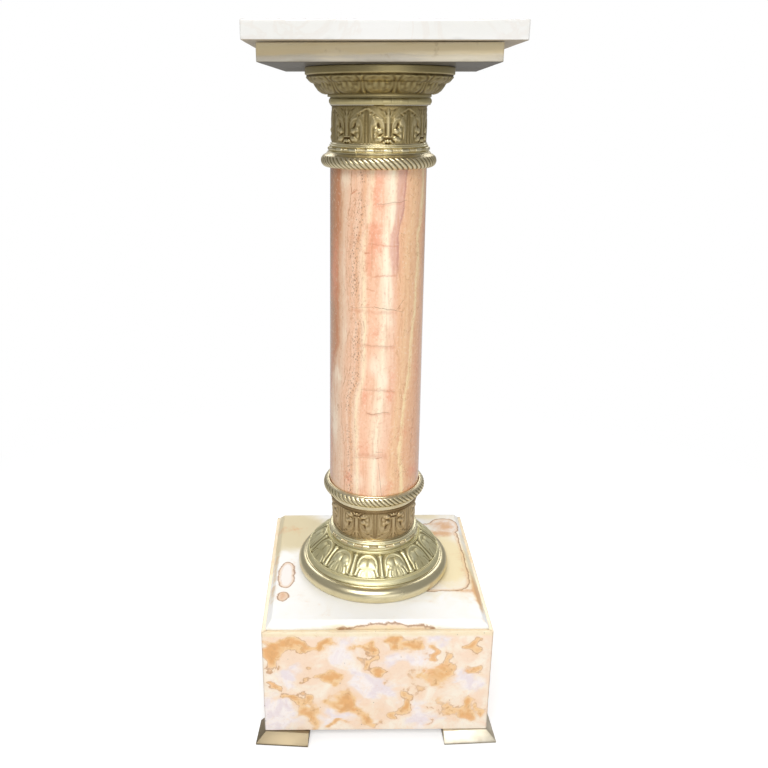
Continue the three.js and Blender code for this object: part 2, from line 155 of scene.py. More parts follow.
# Relief:
# Heights in millimetres over (across, up), both in millimetres; across is 0 at the middle of a repeat.
class Relief:
    def __init__(self, halfWidth, up, columns):
        across = np.abs((np.arange(columns) + 0.5) / columns * 2 - 1) * halfWidth
        self.across, self.up = np.meshgrid(across, up)
        self.height = np.zeros_like(self.across)

    # Rounded ridge: tall * sqrt(1 - (distance to the line / half width)^2), its width tapering
    def ridge(self, points, widths, tall):
        path = smoothLine(points)
        share = np.linspace(0, 1, len(path))
        width = np.interp(share, np.linspace(0, 1, len(widths)), widths)
        tall = np.interp(share, np.linspace(0, 1, len(np.atleast_1d(tall))), np.atleast_1d(tall))
        gap = np.hypot(self.across[..., None] - path[:, 0], self.up[..., None] - path[:, 1]) / width
        nearest = gap.argmin(-1)
        least = np.take_along_axis(gap, nearest[..., None], -1)[..., 0]
        self.height = np.maximum(self.height, tall[nearest] * np.sqrt(np.clip(1 - least ** 2, 0, 1)))

    # Dome: tall * sqrt(1 - (across / a)^2 - (up / b)^2), laid over what is there
    def dome(self, centre, radii, tall, lean=0):
        x, y = self.across - centre[0], self.up - centre[1]
        c, s = math.cos(math.radians(lean)), math.sin(math.radians(lean))
        bulge = tall * np.sqrt(np.clip(
            1 - ((x * c + y * s) / radii[0]) ** 2 - ((y * c - x * s) / radii[1]) ** 2, 0, 1))
        self.height = np.maximum(self.height, bulge)

    # Pit with a soft edge: depth * exp(-(across / a)^2 - (up / b)^2) taken away
    def pit(self, centre, radii, depth, lean=0):
        x, y = self.across - centre[0], self.up - centre[1]
        c, s = math.cos(math.radians(lean)), math.sin(math.radians(lean))
        self.height = self.height - depth * np.exp(
            -((x * c + y * s) / radii[0]) ** 2 - ((y * c - x * s) / radii[1]) ** 2)


# Gaussian blur by Fourier transform, the rows mirrored at their ends and the columns closed
def blurred(field, spread):
    double = np.vstack([field, field[::-1]])
    f, g = np.fft.fftfreq(len(double))[:, None], np.fft.fftfreq(field.shape[1])
    window = np.exp(-2 * (math.pi * f * spread) ** 2 - 2 * (math.pi * g * spread) ** 2)
    return np.fft.ifft2(np.fft.fft2(double) * window).real[:len(field)]


# How deep a point lies among its neighbours: 0 in a groove, 0.5 on the flat, 1 on a crest
def hollowOf(height, spread):
    return np.clip(0.5 + 0.55 * (height - blurred(height, spread)), 0, 1)


# Drum frieze: a stem that opens in a fan, a rolled acanthus leaf on each side, reeds between repeats
def friezeRelief(columns, rows, halfWidth, rise):
    r = Relief(halfWidth, np.linspace(0, rise, rows), columns)
    r.dome((16, 20), (17.5, 32), 1.75)
    r.dome((10, 44), (22, 9), 0.9)
    r.ridge([(29.4, 0.5), (29.4, 38), (29.4, 43)], [2.4, 2.2, 0.6], [1.5, 1.5, 0.6])
    r.ridge([(25.0, 0.5), (25.0, 20), (24.8, 33)], [1.6, 1.3], [1.7, 1.3])
    r.ridge([(3.8, 27), (6.2, 33), (10.5, 37.4), (15.5, 40.4), (20, 42.6)], [2.2, 1.3], [1.9, 1.3])
    r.ridge([(8.0, 30), (12.0, 34.2), (17.5, 38.2), (23, 40.8), (28, 43.4)], [2.2, 1.7], [2.0, 1.3])
    r.ridge([(3.2, 33), (4.6, 38), (7.4, 42), (11, 45)], [1.5, 1.3], [1.8, 1.2])
    r.ridge([(1.0, 35), (1.6, 40), (3.4, 44.6)], [1.0, 1.1], [1.8, 1.3])
    r.ridge([(4.9, 9), (4.9, 17), (6.2, 25), (10.2, 30.4), (15.2, 31.8)], [1.2, 1.7, 2.6], [1.7, 2.1])
    r.dome((18.4, 25.4), (5.6, 7.0), 2.25, -12)
    r.ridge([(19, 30), (22.6, 25), (23.4, 17), (22.0, 8), (19.4, 2.4)], [3.0, 2.6, 2.2], [2.1, 2.0, 1.7])
    r.dome((20.6, 33.4), (2.0, 3.6), 1.9, -34)
    r.dome((24.4, 35.0), (1.7, 3.0), 1.7, 8)
    r.dome((11.2, 15.8), (5.0, 4.3), 2.9)
    r.dome((16.4, 17.6), (3.4, 4.6), 2.6, 12)
    r.dome((17.4, 10.2), (3.0, 4.4), 2.4)
    r.dome((11.2, 6.2), (5.8, 4.5), 2.9, -10)
    r.dome((15.6, 4.8), (2.6, 2.6), 2.5)
    r.pit((13.2, 23.4), (1.2, 2.6), 2.0, -14)
    r.pit((11.6, 20.8), (1.6, 0.8), 0.9, 20)
    r.pit((9.8, 11.3), (3.4, 0.65), 1.7, -22)
    r.pit((13.6, 13.2), (0.6, 1.5), 0.8, -20)
    r.pit((7.2, 3.6), (3.8, 0.55), 1.2, -42)
    r.pit((12.4, 3.2), (0.5, 1.8), 0.7, -18)
    r.pit((20.2, 9), (0.7, 5.0), 0.8)
    r.pit((17.8, 22.4), (0.6, 2.2), 0.5, 24)
    r.pit((4.1, 16), (0.55, 9), 1.1)
    r.pit((5.0, 29.6), (0.6, 4.2), 0.9, -24)
    r.pit((19.0, 35.2), (2.6, 0.8), 0.9, -36)
    r.pit((23.0, 38.2), (1.4, 1.0), 0.9)
    r.pit((27.2, 31), (0.5, 7), 0.8)
    r.pit((27.2, 12), (0.5, 9), 0.5)
    r.pit((9.0, 42.4), (3.6, 0.9), 0.8, 32)
    r.pit((2.4, 36.4), (0.6, 1.4), 0.8)
    r.pit((2.5, 42.4), (0.6, 1.9), 0.8, -14)
    r.ridge([(0, 11), (0, 22), (0, 33)], [3.4, 3.5, 4.2], [2.0, 2.1, 1.9])
    r.ridge([(0, 33), (0, 45)], [1.1, 0.9], [1.9, 1.3])
    r.ridge([(0, 8.6), (4.4, 8.9)], [1.1, 0.9], 2.3)
    r.pit((2.2, 6.9), (3.2, 0.4), 0.7)
    r.dome((0, 3.4), (2.1, 3.2), 2.7)
    r.dome((3.4, 3.6), (2.5, 2.3), 2.6, 30)
    r.dome((5.6, 1.4), (1.7, 1.2), 2.1)
    r.pit((1.9, 1.1), (0.5, 1.0), 0.9)
    return r.height


# Capital flare: a broad two-lobed leaf with a tip that curls out, and a reed with a head between leaves
def flareRelief(columns, up, halfWidth):
    r = Relief(halfWidth, up, columns)
    r.dome((0, 11), (21.5, 17), 2.0)
    r.dome((halfWidth, 10), (4.6, 17), 1.2)
    r.ridge([(4, 1.0), (10.6, 2.0), (15.4, 5.6), (16.8, 11), (15.4, 16.5), (11.0, 20.0)],
            [1.4, 2.4, 2.4, 2.0], [1.6, 2.1, 1.9])
    r.dome((4.6, 11.6), (4.0, 7.0), 2.6, 12)
    r.dome((10.6, 14.2), (4.2, 4.6), 2.5, -24)
    r.dome((11.2, 7.4), (3.6, 3.6), 2.4, 24)
    r.dome((3.4, 4.6), (3.2, 2.6), 2.3, 10)
    r.pit((0, 11.4), (0.7, 4.6), 0.8)
    r.pit((7.6, 10.8), (0.6, 2.6), 0.9, 14)
    r.pit((11.8, 10.6), (2.6, 0.6), 0.7, -8)
    r.pit((6.4, 6.0), (2.4, 0.5), 0.6, 26)
    r.pit((14.6, 13.2), (0.6, 2.4), 0.5, -14)
    r.pit((6.0, 18.2), (3.0, 0.6), 0.8, -12)
    r.dome((0, 20.2), (5.0, 2.2), 2.5)
    r.dome((8.4, 19.8), (3.4, 1.9), 2.2, -14)
    r.pit((halfWidth - 3.0, 10), (0.5, 7), 0.7)
    r.ridge([(halfWidth, 0.6), (halfWidth, 10), (halfWidth, 18)], [2.4, 1.7, 2.2], [2.0, 2.0])
    r.dome((halfWidth, 19.8), (4.2, 2.4), 2.3)
    return r.height


# Base bell: a shell-like leaf of two full lobes under a soft arch, drooping tips, and a dart between
def bellRelief(columns, rows, halfWidth, rise):
    r = Relief(halfWidth, np.linspace(0, rise, rows), columns)
    r.dome((0, 18), (20.5, 24), 1.9)
    r.dome((halfWidth, 18), (4.5, 24), 1.0)
    r.ridge([(14.6, 12), (15.2, 19), (14.0, 27), (10.4, 32.4), (5.0, 35.4), (0, 36.0)],
            [1.8, 2.4, 2.2, 1.9], [1.9, 2.2, 2.0])
    r.dome((5.8, 22.8), (7.8, 9.0), 2.9, 12)
    r.dome((9.8, 18.6), (4.6, 6.2), 2.7, 16)
    r.pit((0, 21.5), (0.6, 5.5), 0.7)
    r.pit((0, 30.6), (4.6, 1.2), 0.5)
    r.pit((4.6, 27.6), (3.4, 0.8), 0.35, -28)
    r.ridge([(6.8, 14.5), (9.6, 9.0), (10.8, 2.6)], [3.4, 2.8], [2.5, 2.1])
    r.ridge([(12.6, 14.5), (14.6, 9), (15.8, 4.0)], [2.0, 1.7], [2.2, 1.8])
    r.ridge([(1.8, 12.0), (2.8, 8), (3.4, 3.0)], [1.9, 1.5], [2.1, 1.8])
    r.ridge([(5.6, 9.5), (6.6, 6), (6.8, 2.6)], [1.6, 1.4], [2.2, 1.9])
    r.dome((9.8, 2.2), (2.4, 1.5), 2.4)
    r.dome((5.4, 1.6), (1.6, 1.2), 2.0)
    r.pit((8.2, 13.2), (4.4, 0.6), 0.8, -20)
    r.pit((0, 6), (1.0, 5), 0.5)
    r.pit((8.0, 8.0), (0.5, 3.6), 0.5, 12)
    r.pit((12.6, 8.4), (0.5, 4.0), 0.6, 14)
    r.pit((17.6, 17), (0.5, 10), 0.7)
    r.ridge([(halfWidth, 5), (halfWidth, 13), (halfWidth, 24), (halfWidth, 33)], [2.6, 1.6, 1.7, 3.2],
            [2.2, 2.3])
    r.dome((halfWidth, 34.0), (4.6, 2.4), 2.2)
    r.dome((halfWidth, 2.8), (4.2, 1.9), 2.5)
    return r.height


# One repeat copied round, its creases eased as a cast and polished surface has them
def copiedRound(field, repeats, ease=0.8):
    return blurred(np.tile(field, (1, repeats)), ease)


# Materials:
# A colour of 0 to 255 a channel, as the eye reads it, made linear
def tint(*rgb):
    channels = np.array(rgb) / 255
    linear = np.where(channels <= 0.04045, channels / 12.92, ((channels + 0.055) / 1.055) ** 2.4)
    return (*linear.tolist(), 1.0)


# A socket that can be used in an expression; each operator adds a Math node
class Value:
    def __init__(self, nodes, socket):
        self.nodes, self.socket = nodes, socket

    def math(self, operation, *inputs):
        return self.nodes.add("ShaderNodeMath", {"operation": operation}, inputs)

    def __add__(self, other): return self.math("ADD", self, other)
    def __radd__(self, other): return self.math("ADD", other, self)
    def __sub__(self, other): return self.math("SUBTRACT", self, other)
    def __rsub__(self, other): return self.math("SUBTRACT", other, self)
    def __mul__(self, other): return self.math("MULTIPLY", self, other)
    def __rmul__(self, other): return self.math("MULTIPLY", other, self)
    def __truediv__(self, other): return self.math("DIVIDE", self, other)
    def __pow__(self, other): return self.math("POWER", self, other)
    def __neg__(self): return self.math("MULTIPLY", self, -1)
    def __abs__(self): return self.math("ABSOLUTE", self)

    def most(self, other): return self.math("MAXIMUM", self, other)

    # 0 below low, 1 above high, and a smooth step between
    def step(self, low, high):
        return self.nodes.add("ShaderNodeMapRange", {"interpolation_type": "SMOOTHSTEP"},
                              {"Value": self, "From Min": low, "From Max": high})

    # 1 near a value, falling to 0 at the given distance
    def near(self, value, distance):
        return 1 - abs(self - value).step(0, distance)


# A node tree whose nodes are added one by one by add(type, settings, inputs)
class Nodes:
    def __init__(self, tree):
        self.tree = tree
        tree.nodes.clear()

    def feed(self, socket, value):
        if isinstance(value, Value):
            self.tree.links.new(value.socket, socket)
        else:
            socket.default_value = value

    def add(self, kind, settings=None, inputs=(), output=0):
        node = self.tree.nodes.new(kind)
        for key, value in (settings or {}).items():
            if key == "stops":
                ramp = node.color_ramp
                while len(ramp.elements) < len(value):
                    ramp.elements.new(1)
                for element, (position, *rgb) in zip(ramp.elements, value):
                    element.position, element.color = position, tint(*rgb)
            else:
                setattr(node, key, value)
        for key, value in (inputs.items() if isinstance(inputs, dict) else enumerate(inputs)):
            self.feed(node.inputs[key], value)
        return Value(self, node.outputs[output]) if node.outputs else node


# A material: its texture nodes read the object's own coordinates or the mesh's named values, and
# its colour is built up in layers
class Paint(Nodes):
    def __init__(self, name, shader):
        self.material = bpy.data.materials.new(name)
        self.material.use_nodes = True
        super().__init__(self.material.node_tree)
        surface = self.add("ShaderNodeBsdfPrincipled", {}, shader)
        self.shader = surface.socket.node
        self.out = self.add("ShaderNodeOutputMaterial", {}, {"Surface": surface})
        self.place = self.add("ShaderNodeTexCoord", output="Object")
        parts = self.add("ShaderNodeSeparateXYZ", {}, (self.place,)).socket.node.outputs
        self.x, self.y, self.z = (Value(self, part) for part in parts)

    def attribute(self, name):
        return self.add("ShaderNodeAttribute", {"attribute_name": name}, output="Fac")

    # The place, stretched and moved, for a texture to read
    def stretched(self, scale=(1, 1, 1), location=(0, 0, 0)):
        return self.add("ShaderNodeMapping", {"vector_type": "POINT"},
                        {"Vector": self.place, "Scale": scale, "Location": location})

    def noise(self, scale, detail=3.0, roughness=0.5, distortion=0.0, where=None):
        return self.add("ShaderNodeTexNoise", {"noise_dimensions": "3D"},
                        {"Vector": where or self.place, "Scale": scale, "Detail": detail,
                         "Roughness": roughness, "Distortion": distortion})

    def cells(self, scale, where=None):
        return self.add("ShaderNodeTexVoronoi", {}, {"Vector": where or self.place, "Scale": scale})

    def ramp(self, value, *stops):
        return self.add("ShaderNodeValToRGB", {"stops": stops}, (value,))

    # Between two colours, each one a link or [red, green, blue]
    def mix(self, share, under, over, blend="MIX"):
        under, over = (c if isinstance(c, Value) else tint(*c) for c in (under, over))
        return self.add("ShaderNodeMix", {"data_type": "RGBA", "blend_type": blend},
                        {0: share, 6: under, 7: over}, output=2)

    # One more layer of colour, by a share from 0 to 1
    def lay(self, share, *over):
        self.colour = self.mix(share, self.colour, over if len(over) > 1 else over[0])

    def bump(self, height, distance):
        self.feed(self.shader.inputs["Normal"],
                  self.add("ShaderNodeBump", {}, {"Height": height, "Distance": distance}))

    def finish(self, roughness=None):
        self.feed(self.shader.inputs["Base Color"], self.colour)
        if roughness is not None:
            self.feed(self.shader.inputs["Roughness"], roughness)
        return self.material


# Aged bronze: brighter on the worn crests, and dark in the grooves, which is partly patina and partly painted
# shade, with olive and brown patches. A plain moulding, whose relief value is above 1, may be rubbed
# brighter.
def bronze(name, light, middle, dark, patch, rough=(0.3, 0.46), grain=0.0001, moulding=None):
    p = Paint(name, {"Metallic": 1.0})
    relief, hollow = p.attribute("relief"), p.attribute("hollow")
    clouds = p.noise(22, 4, 0.6)
    fine = p.noise(420, 3, 0.6)
    # wear on the crests, and painted shade where a point lies hollow among its neighbours
    wearAndShade = (relief * 0.45 + hollow * 0.7 + (fine - 0.5) * 0.25 - 0.05).step(0.1, 1.0)
    p.colour = p.ramp(wearAndShade, (0, *dark), (0.5, *middle), (1, *light))
    p.colour = p.mix(clouds.step(0.45, 0.75) * 0.5, p.colour, patch, "MULTIPLY")
    if moulding:
        p.lay(relief.step(1.0, 1.2), moulding)
    # painted shade and patina deep in the grooves
    p.lay((1 - hollow.step(0.08, 0.4)) * 0.55, dark)
    p.bump(fine * 0.5 + p.noise(1500, 2, 0.5) * 0.5, grain)
    low, high = rough
    return p.finish(high - wearAndShade * (high - low) + (clouds - 0.5) * 0.12)


bronzes = dict(
    flare=dict(light=(172, 157, 112), middle=(138, 122, 82), dark=(100, 84, 52), patch=(212, 206, 184),
               rough=(0.4, 0.55), moulding=(204, 190, 142)),
    capital=dict(light=(230, 214, 168), middle=(180, 161, 112), dark=(112, 92, 56),
                 patch=(214, 206, 184), moulding=(236, 226, 190)),
    rope=dict(light=(244, 232, 198), middle=(206, 191, 150), dark=(114, 100, 70), patch=(220, 214, 196)),
    base=dict(light=(216, 194, 152), middle=(174, 151, 110), dark=(126, 102, 70), patch=(222, 206, 184),
              moulding=(238, 230, 194)),
    bell=dict(light=(246, 240, 200), middle=(226, 217, 172), dark=(160, 148, 106), patch=(228, 224, 204),
              rough=(0.42, 0.55)),
    polished=dict(light=(234, 223, 186), middle=(218, 207, 169), dark=(110, 100, 74),
                  patch=(218, 212, 194), rough=(0.28, 0.38), grain=0.00004))
finishes = {f"{name}Bronze": bronze(f"{name}_bronze", **tints) for name, tints in bronzes.items()}


# Polished onyx slab: near white, with soft cream and grey veins that follow level layers
def whiteOnyx(name):
    foot = heightOf("top_slab") * mm
    p = Paint(name, {"Coat Weight": 0.25, "Coat Roughness": 0.08})
    swirl = p.noise(5, 5, 0.55, 0.6)
    layers = p.noise(9, 4, 0.6, 1.2, p.stretched((1, 1, 3)))
    vein = p.noise(7, 6, 0.6, 1.8, p.stretched(location=(3, 1, 2))).near(0.5, 0.035)
    p.colour = p.mix(swirl.step(0.35, 0.7), (233, 232, 229), (228, 227, 222))
    p.lay(layers.step(0.55, 0.75) * 0.3, 232, 227, 214)
    p.lay(vein * 0.12, 210, 186, 166)
    # painted shade: the underside is coloured darker brown
    under = 1 - p.z.step(foot + 0.0001, foot + 0.0012)
    p.lay(under * 0.85, 166, 146, 110)
    return p.finish(0.14 + swirl * 0.08 + under * 0.4)


# Lower slab: tan along its upper half, which is partly the stone and partly painted shade under the top
# slab's overhang, and grey below
def edgeOnyx(name):
    foot, top = heightOf("lower_slab") * mm, heightOf("lower_slab", True) * mm
    p = Paint(name, {"Coat Weight": 0.2})
    cloud = p.noise(12, 5, 0.6, 0.6, p.stretched((1, 1, 2.5)))
    level = (p.z - foot) / (top - foot) + (cloud - 0.5) * 0.5
    stripes = p.noise(16, 4, 0.55, 0.4, p.stretched((0.6, 0.6, 9)))
    # the tan upper stops are partly painted shade under the top slab's overhang
    p.colour = p.ramp(level, (0, 168, 159, 142), (0.16, 194, 187, 172), (0.34, 200, 190, 170),
                      (0.46, 220, 202, 162), (0.8, 220, 204, 164), (1, 224, 212, 180))
    p.lay(stripes.step(0.5, 0.7) * 0.45, 226, 214, 186)
    p.lay(p.noise(60, 4, 0.6).step(0.62, 0.75) * 0.4, 168, 146, 108)
    # painted shade: the underside is coloured dark
    under = 1 - p.z.step(foot + 0.0001, foot + 0.001)
    p.lay(under * 0.9, 74, 66, 50)
    return p.finish(0.18 + cloud * 0.12 + under * 0.4)


# Each crack and stain of the shaft's front: from [x, height], to [x, height], half width, depth
shaftCracks = ((-5, 787, 36, 790, 0.7, 0.7), (-40, 645, -6, 648, 0.6, 0.6), (-7, 650, 4, 646, 0.8, 0.9),
               (3, 646, 25, 643, 0.8, 1.0), (24, 643, 36, 657, 0.7, 0.8), (24, 643, 34, 639, 0.6, 0.7),
               (-15, 491, 17, 492, 0.7, 0.8), (-25, 527, 25, 524, 0.5, 0.45), (-31, 420, 0, 421, 0.5, 0.4),
               (-2.5, 431, 8.5, 430, 0.8, 0.6), (-2.5, 420, 8.5, 421, 0.9, 0.7),
               (-20, 593, 21, 592, 0.8, 0.4))
shaftStains = ((-5, 785, 30, 788, 3.0, 0.3), (-38, 642, 26, 640, 4.5, 0.35), (-30, 593, 24, 590, 5.0, 0.35),
               (-22, 528, 26, 524, 4.0, 0.3), (-18, 491, 20, 490, 4.0, 0.4), (-31, 424, 16, 424, 7.0, 0.4),
               (-38, 799, -30, 805, 1.6, 0.9), (-16, 735, 25, 731, 2.2, 0.45), (-10, 690, 25, 691, 2.4, 0.6),
               (-18, 673, -5, 671, 2.0, 0.6), (-21, 722, -13, 722, 2.4, 0.8))


# The strongest of several marks; each is 1 on its line, which wavers, and 0 at its half width
def shaftMarks(p, wave, marks):
    strongest = 0
    for x0, z0, x1, z1, width, depth in marks:
        x0, z0, x1, z1 = (v * mm for v in (x0, z0, x1, z1))
        level = p.z + wave - (p.x - x0) * ((z1 - z0) / (x1 - x0)) - z0
        ends = (p.x - x0).step(-0.001, 0.002) * (1 - (p.x - x1).step(-0.002, 0.001))
        strongest = (level.near(0, width * mm) * ends * depth).most(strongest)
    return strongest


# Shaft: the mesh carries each point's place among the stone's upright layers, and where the stone
# blushes or pales. Noise roughens all three, and thin contour lines, pits and cracks are laid over.
def shaftOnyx(name):
    p = Paint(name, {"Coat Weight": 0.3, "Coat Roughness": 0.08})
    quick = p.noise(34, 4, 0.62, 0.4, p.stretched((1, 1, 0.3)))
    rough = p.noise(120, 4, 0.65, 0.3, p.stretched((1, 1, 0.45)))
    grain = p.noise(260, 3, 0.6, 0, p.stretched((1, 1, 0.08)))
    layer = p.attribute("layer") + (quick - 0.5) * 0.07 + (rough - 0.5) * 0.035
    p.colour = p.ramp(
        layer, (0, 172, 142, 116), (0.05, 188, 138, 100), (0.085, 196, 130, 88), (0.115, 226, 186, 152),
        (0.16, 236, 202, 172), (0.195, 240, 198, 166), (0.24, 242, 196, 162), (0.29, 246, 208, 178),
        (0.34, 238, 188, 150), (0.39, 248, 214, 182), (0.43, 253, 230, 194), (0.47, 248, 196, 162),
        (0.54, 248, 200, 166), (0.59, 252, 222, 190), (0.63, 254, 238, 208), (0.68, 250, 212, 182),
        (0.74, 246, 200, 168), (0.78, 244, 194, 154), (0.83, 245, 202, 158), (0.88, 240, 192, 150),
        (0.90, 253, 228, 178), (0.92, 242, 192, 150), (0.96, 236, 180, 141), (1, 218, 164, 130))
    mottle = p.noise(64, 6, 0.72, 1.0, p.stretched((1, 1, 0.8), (4, 2, 1)))
    crumbs = p.noise(300, 4, 0.7, 0.3, p.stretched((1, 1, 0.7), (2, 2, 1)))
    stir = (mottle - 0.5) * 1.5 + (crumbs - 0.5) * 0.9
    p.lay((p.attribute("blush") + stir).step(0.15, 1.15) * 0.75, 240, 162, 128)
    pale = p.attribute("pale") + stir * 0.7 + (quick - 0.5) * 0.6
    p.lay(pale.step(0.2, 1.1) * 0.8, 255, 240, 214)
    p.lay(layer.near(0.755, 0.016) * p.attribute("mauve") * 0.75, 190, 128, 118)
    haze = (p.attribute("mauve") - 0.1) * layer.near(0.715, 0.07)
    p.lay(haze.step(0.05, 0.6) * 0.6, 220, 168, 154)
    p.lay(grain.step(0.48, 0.7) * 0.35, 216, 152, 112)
    p.lay(mottle.step(0.56, 0.72) * 0.35, 222, 152, 114)
    p.lay(crumbs.step(0.52, 0.72) * 0.4, 214, 152, 118)
    p.lay((1 - crumbs.step(0.28, 0.48)) * 0.35, 255, 238, 214)
    # contour lines along the layers: the layer, the line's half width and its strength
    lines = layer.near(0.197, 0.004)
    for at, width, strength in ((0.245, 0.003, 0.7), (0.225, 0.002, 0.5), (0.335, 0.003, 0.35),
                                (0.95, 0.004, 0.5), (0.105, 0.004, 0.5)):
        lines = lines.most(layer.near(at, width) * strength)
    lines = lines * p.noise(30, 3, 0.6, 0, p.stretched((1, 1, 0.5), (9, 1, 4))).step(0.36, 0.52)
    p.lay(lines * 0.6, 168, 104, 66)
    threads = p.noise(42, 5, 0.65, 1.0, p.stretched((1, 1, 0.28), (3, 8, 1))).near(0.5, 0.012)
    threads = threads * layer.step(0.08, 0.16) * (1 - layer.step(0.4, 0.5)) * mottle.step(0.4, 0.56)
    p.lay(threads * 0.6, 176, 116, 78)
    threads = p.noise(30, 4, 0.6, 0.8, p.stretched((1, 1, 0.5), (6, 3, 2))).near(0.5, 0.01)
    p.lay(threads * layer.step(0.7, 0.78) * mottle.step(0.42, 0.56) * 0.55, 190, 130, 88)
    pitted = layer.near(0.31, 0.11) * p.noise(26, 3, 0.6).step(0.3, 0.46)
    pits = (1 - p.cells(330, p.stretched((1, 1, 0.7))).step(0.16, 0.42)) \
        .most((1 - p.cells(700).step(0.14, 0.4)) * 0.7) * pitted
    p.lay(pits * 0.8, 146, 102, 72)
    wave = (p.noise(60, 4, 0.6, 0, p.stretched((1, 1, 0.3))) - 0.5) * 0.009
    stain = shaftMarks(p, wave, shaftStains)
    # one more crack leans upwards, low on the front
    leaning = (p.x - (p.z - 0.362) * -0.11 - 0.008 + wave * 0.15).near(0, 0.0006) \
        * (1 - p.z.step(0.405, 0.417)) * (-p.y).step(0, 0.01)
    crack = shaftMarks(p, wave, shaftCracks).most(leaning * 0.8)
    p.lay((stain * mottle.step(0.25, 0.55)) * 0.8, 206, 122, 84)
    p.lay(crack * 0.75, 142, 92, 64)
    p.bump(pits * -0.5 - crack * 0.4, 0.0004)
    return p.finish(0.12 + pits * 0.3 + quick * 0.08)


# Panel: white stone; a brown contour line follows the edge of each vein that the mesh carries
def panelOnyx(name):
    p = Paint(name, {"Specular IOR Level": 0.3})
    wander = p.noise(26, 4, 0.6, 0.8)
    fine = p.noise(110, 4, 0.65)
    depth = p.attribute("vein") + (wander - 0.5) * 0.9 + (fine - 0.5) * 0.55
    warm = (p.attribute("warm") + (wander - 0.5) * 0.7).step(0.15, 0.85)
    rust = (p.attribute("rust") + (wander - 0.5) * 1.4 + (fine - 0.5) * 0.7).step(0.15, 0.95)
    p.colour = p.mix(wander.step(0.3, 0.7), (252, 251, 249), (250, 248, 243))
    p.lay(warm * 0.85, 240, 221, 168)
    # painted shade: greyer over the warm patch at the back left
    p.lay(warm * (1 - p.x.step(-0.1, -0.02)) * 0.55, 206, 194, 162)
    p.lay(depth.step(-0.02, 0.12) * (1 - warm) * 0.45, 242, 230, 224)
    p.lay(rust * 0.85, 222, 168, 112)
    p.lay((depth - 0.15).near(0, 0.45) * 0.5, 228, 182, 126)
    p.lay(depth.near(0, 0.17) * 0.8, 150, 100, 54)
    p.lay(depth.near(0.5, 0.08) * fine.step(0.42, 0.6) * 0.4, 188, 138, 98)
    return p.finish(0.3 + fine * 0.1)


# Plates: caramel patches on a milky lavender and pink ground, some of them edged with a brown line
def plateOnyx(name):
    top = heightOf("plinth_front_plate", True) * mm
    p = Paint(name, {"Coat Weight": 0.2})
    clouds = p.noise(26, 5, 0.62, 1.2)
    spots = p.noise(75, 5, 0.65, 0.8)
    drift = p.noise(19, 4, 0.55, 1.0, p.stretched(location=(5, 2, 1)))
    patch = p.attribute("caramel") * 1.45 + (clouds - 0.5) * 1.6 + (spots - 0.5) * 0.9
    milk = (p.attribute("milky") * 1.4 + (drift - 0.5) * 1.6 + (spots - 0.5) * 0.5).step(0.1, 0.75)
    caramel = p.mix(patch.step(0.75, 1.45), (246, 208, 158), (235, 178, 116))
    caramel = p.mix(spots.step(0.48, 0.64) * 0.45, caramel, (220, 164, 108))
    caramel = p.mix(drift.step(0.52, 0.66) * 0.5, caramel, (242, 184, 130))
    p.colour = p.mix(drift.step(0.38, 0.62), (250, 223, 198), (253, 242, 224))
    p.lay(milk, p.mix(clouds.step(0.4, 0.6), (240, 227, 228), (252, 243, 239)))
    p.lay(patch.step(0.05, 0.5) * 0.45, 248, 214, 178)
    p.lay(patch.step(0.38, 0.8), caramel)
    p.lay(patch.near(0.55, 0.13) * p.noise(12, 3, 0.5).step(0.44, 0.62) * 0.75, 198, 148, 106)
    broken = p.noise(10, 3, 0.5, 0, p.stretched(location=(1, 7, 3))).step(0.48, 0.6)
    p.lay(patch.near(0.5, 0.03) * broken * 0.3, 160, 108, 72)
    p.lay(patch.near(0.98, 0.07) * spots.step(0.42, 0.6) * 0.4, 188, 130, 86)
    strip = (p.z + (clouds - 0.5) * 0.006).step(top - 0.009, top - 0.004)
    p.lay(strip * 0.7, 248, 232, 194)
    p.lay((1 - p.cells(70).step(0.03, 0.07)) * 0.7, 104, 84, 70)
    p.lay(p.noise(240, 3, 0.6).step(0.5, 0.75) * 0.15, 214, 168, 128)
    return p.finish(0.14 + spots * 0.08)


# Brass of the feet: pale, brushed, darker on the left feet, which is a painted dark reflection, and darker
# within 4 mm of the floor
def footBrass(name):
    p = Paint(name, {"Metallic": 1.0})
    clouds = p.noise(40, 4, 0.6)
    p.colour = p.mix(clouds.step(0.35, 0.7), (222, 214, 196), (204, 194, 170))
    # painted dark reflection on the feet at the left
    p.lay(1 - p.x.step(-0.1, 0.1), 150, 136, 110)
    # darker within 4 mm of the floor
    p.lay((1 - p.z.step(0, 0.004)) * 0.7, 96, 84, 62)
    p.bump(p.noise(700, 3, 0.6, 0, p.stretched((1, 1, 6))), 0.00008)
    return p.finish(0.38 + clouds * 0.14)


def plainMetal(name, bright, dull, rough):
    p = Paint(name, {"Metallic": 1.0})
    clouds = p.noise(60, 5, 0.65)
    p.colour = p.mix(clouds.step(0.35, 0.7), bright, dull)
    p.bump(p.noise(500, 4, 0.6), 0.0001)
    return p.finish(rough + clouds * 0.15)


def carcassWood(name):
    p = Paint(name, {})
    rings = p.noise(14, 3, 0.5, 0.3, p.stretched((0.5, 6, 6)))
    pores = p.noise(260, 3, 0.6, 0, p.stretched((0.06, 1, 1)))
    p.colour = p.mix(rings.step(0.35, 0.65), (176, 136, 92), (140, 102, 64))
    p.lay(pores.step(0.55, 0.75) * 0.5, 96, 68, 42)
    p.bump(pores, 0.0002)
    return p.finish(0.6 + pores * 0.2)


def packingFelt(name):
    p = Paint(name, {"Roughness": 0.95})
    hair = p.noise(1400, 4, 0.7, 1.0)
    p.colour = p.mix(hair, (86, 92, 74), (120, 126, 104))
    p.bump(hair, 0.0003)
    return p.finish()


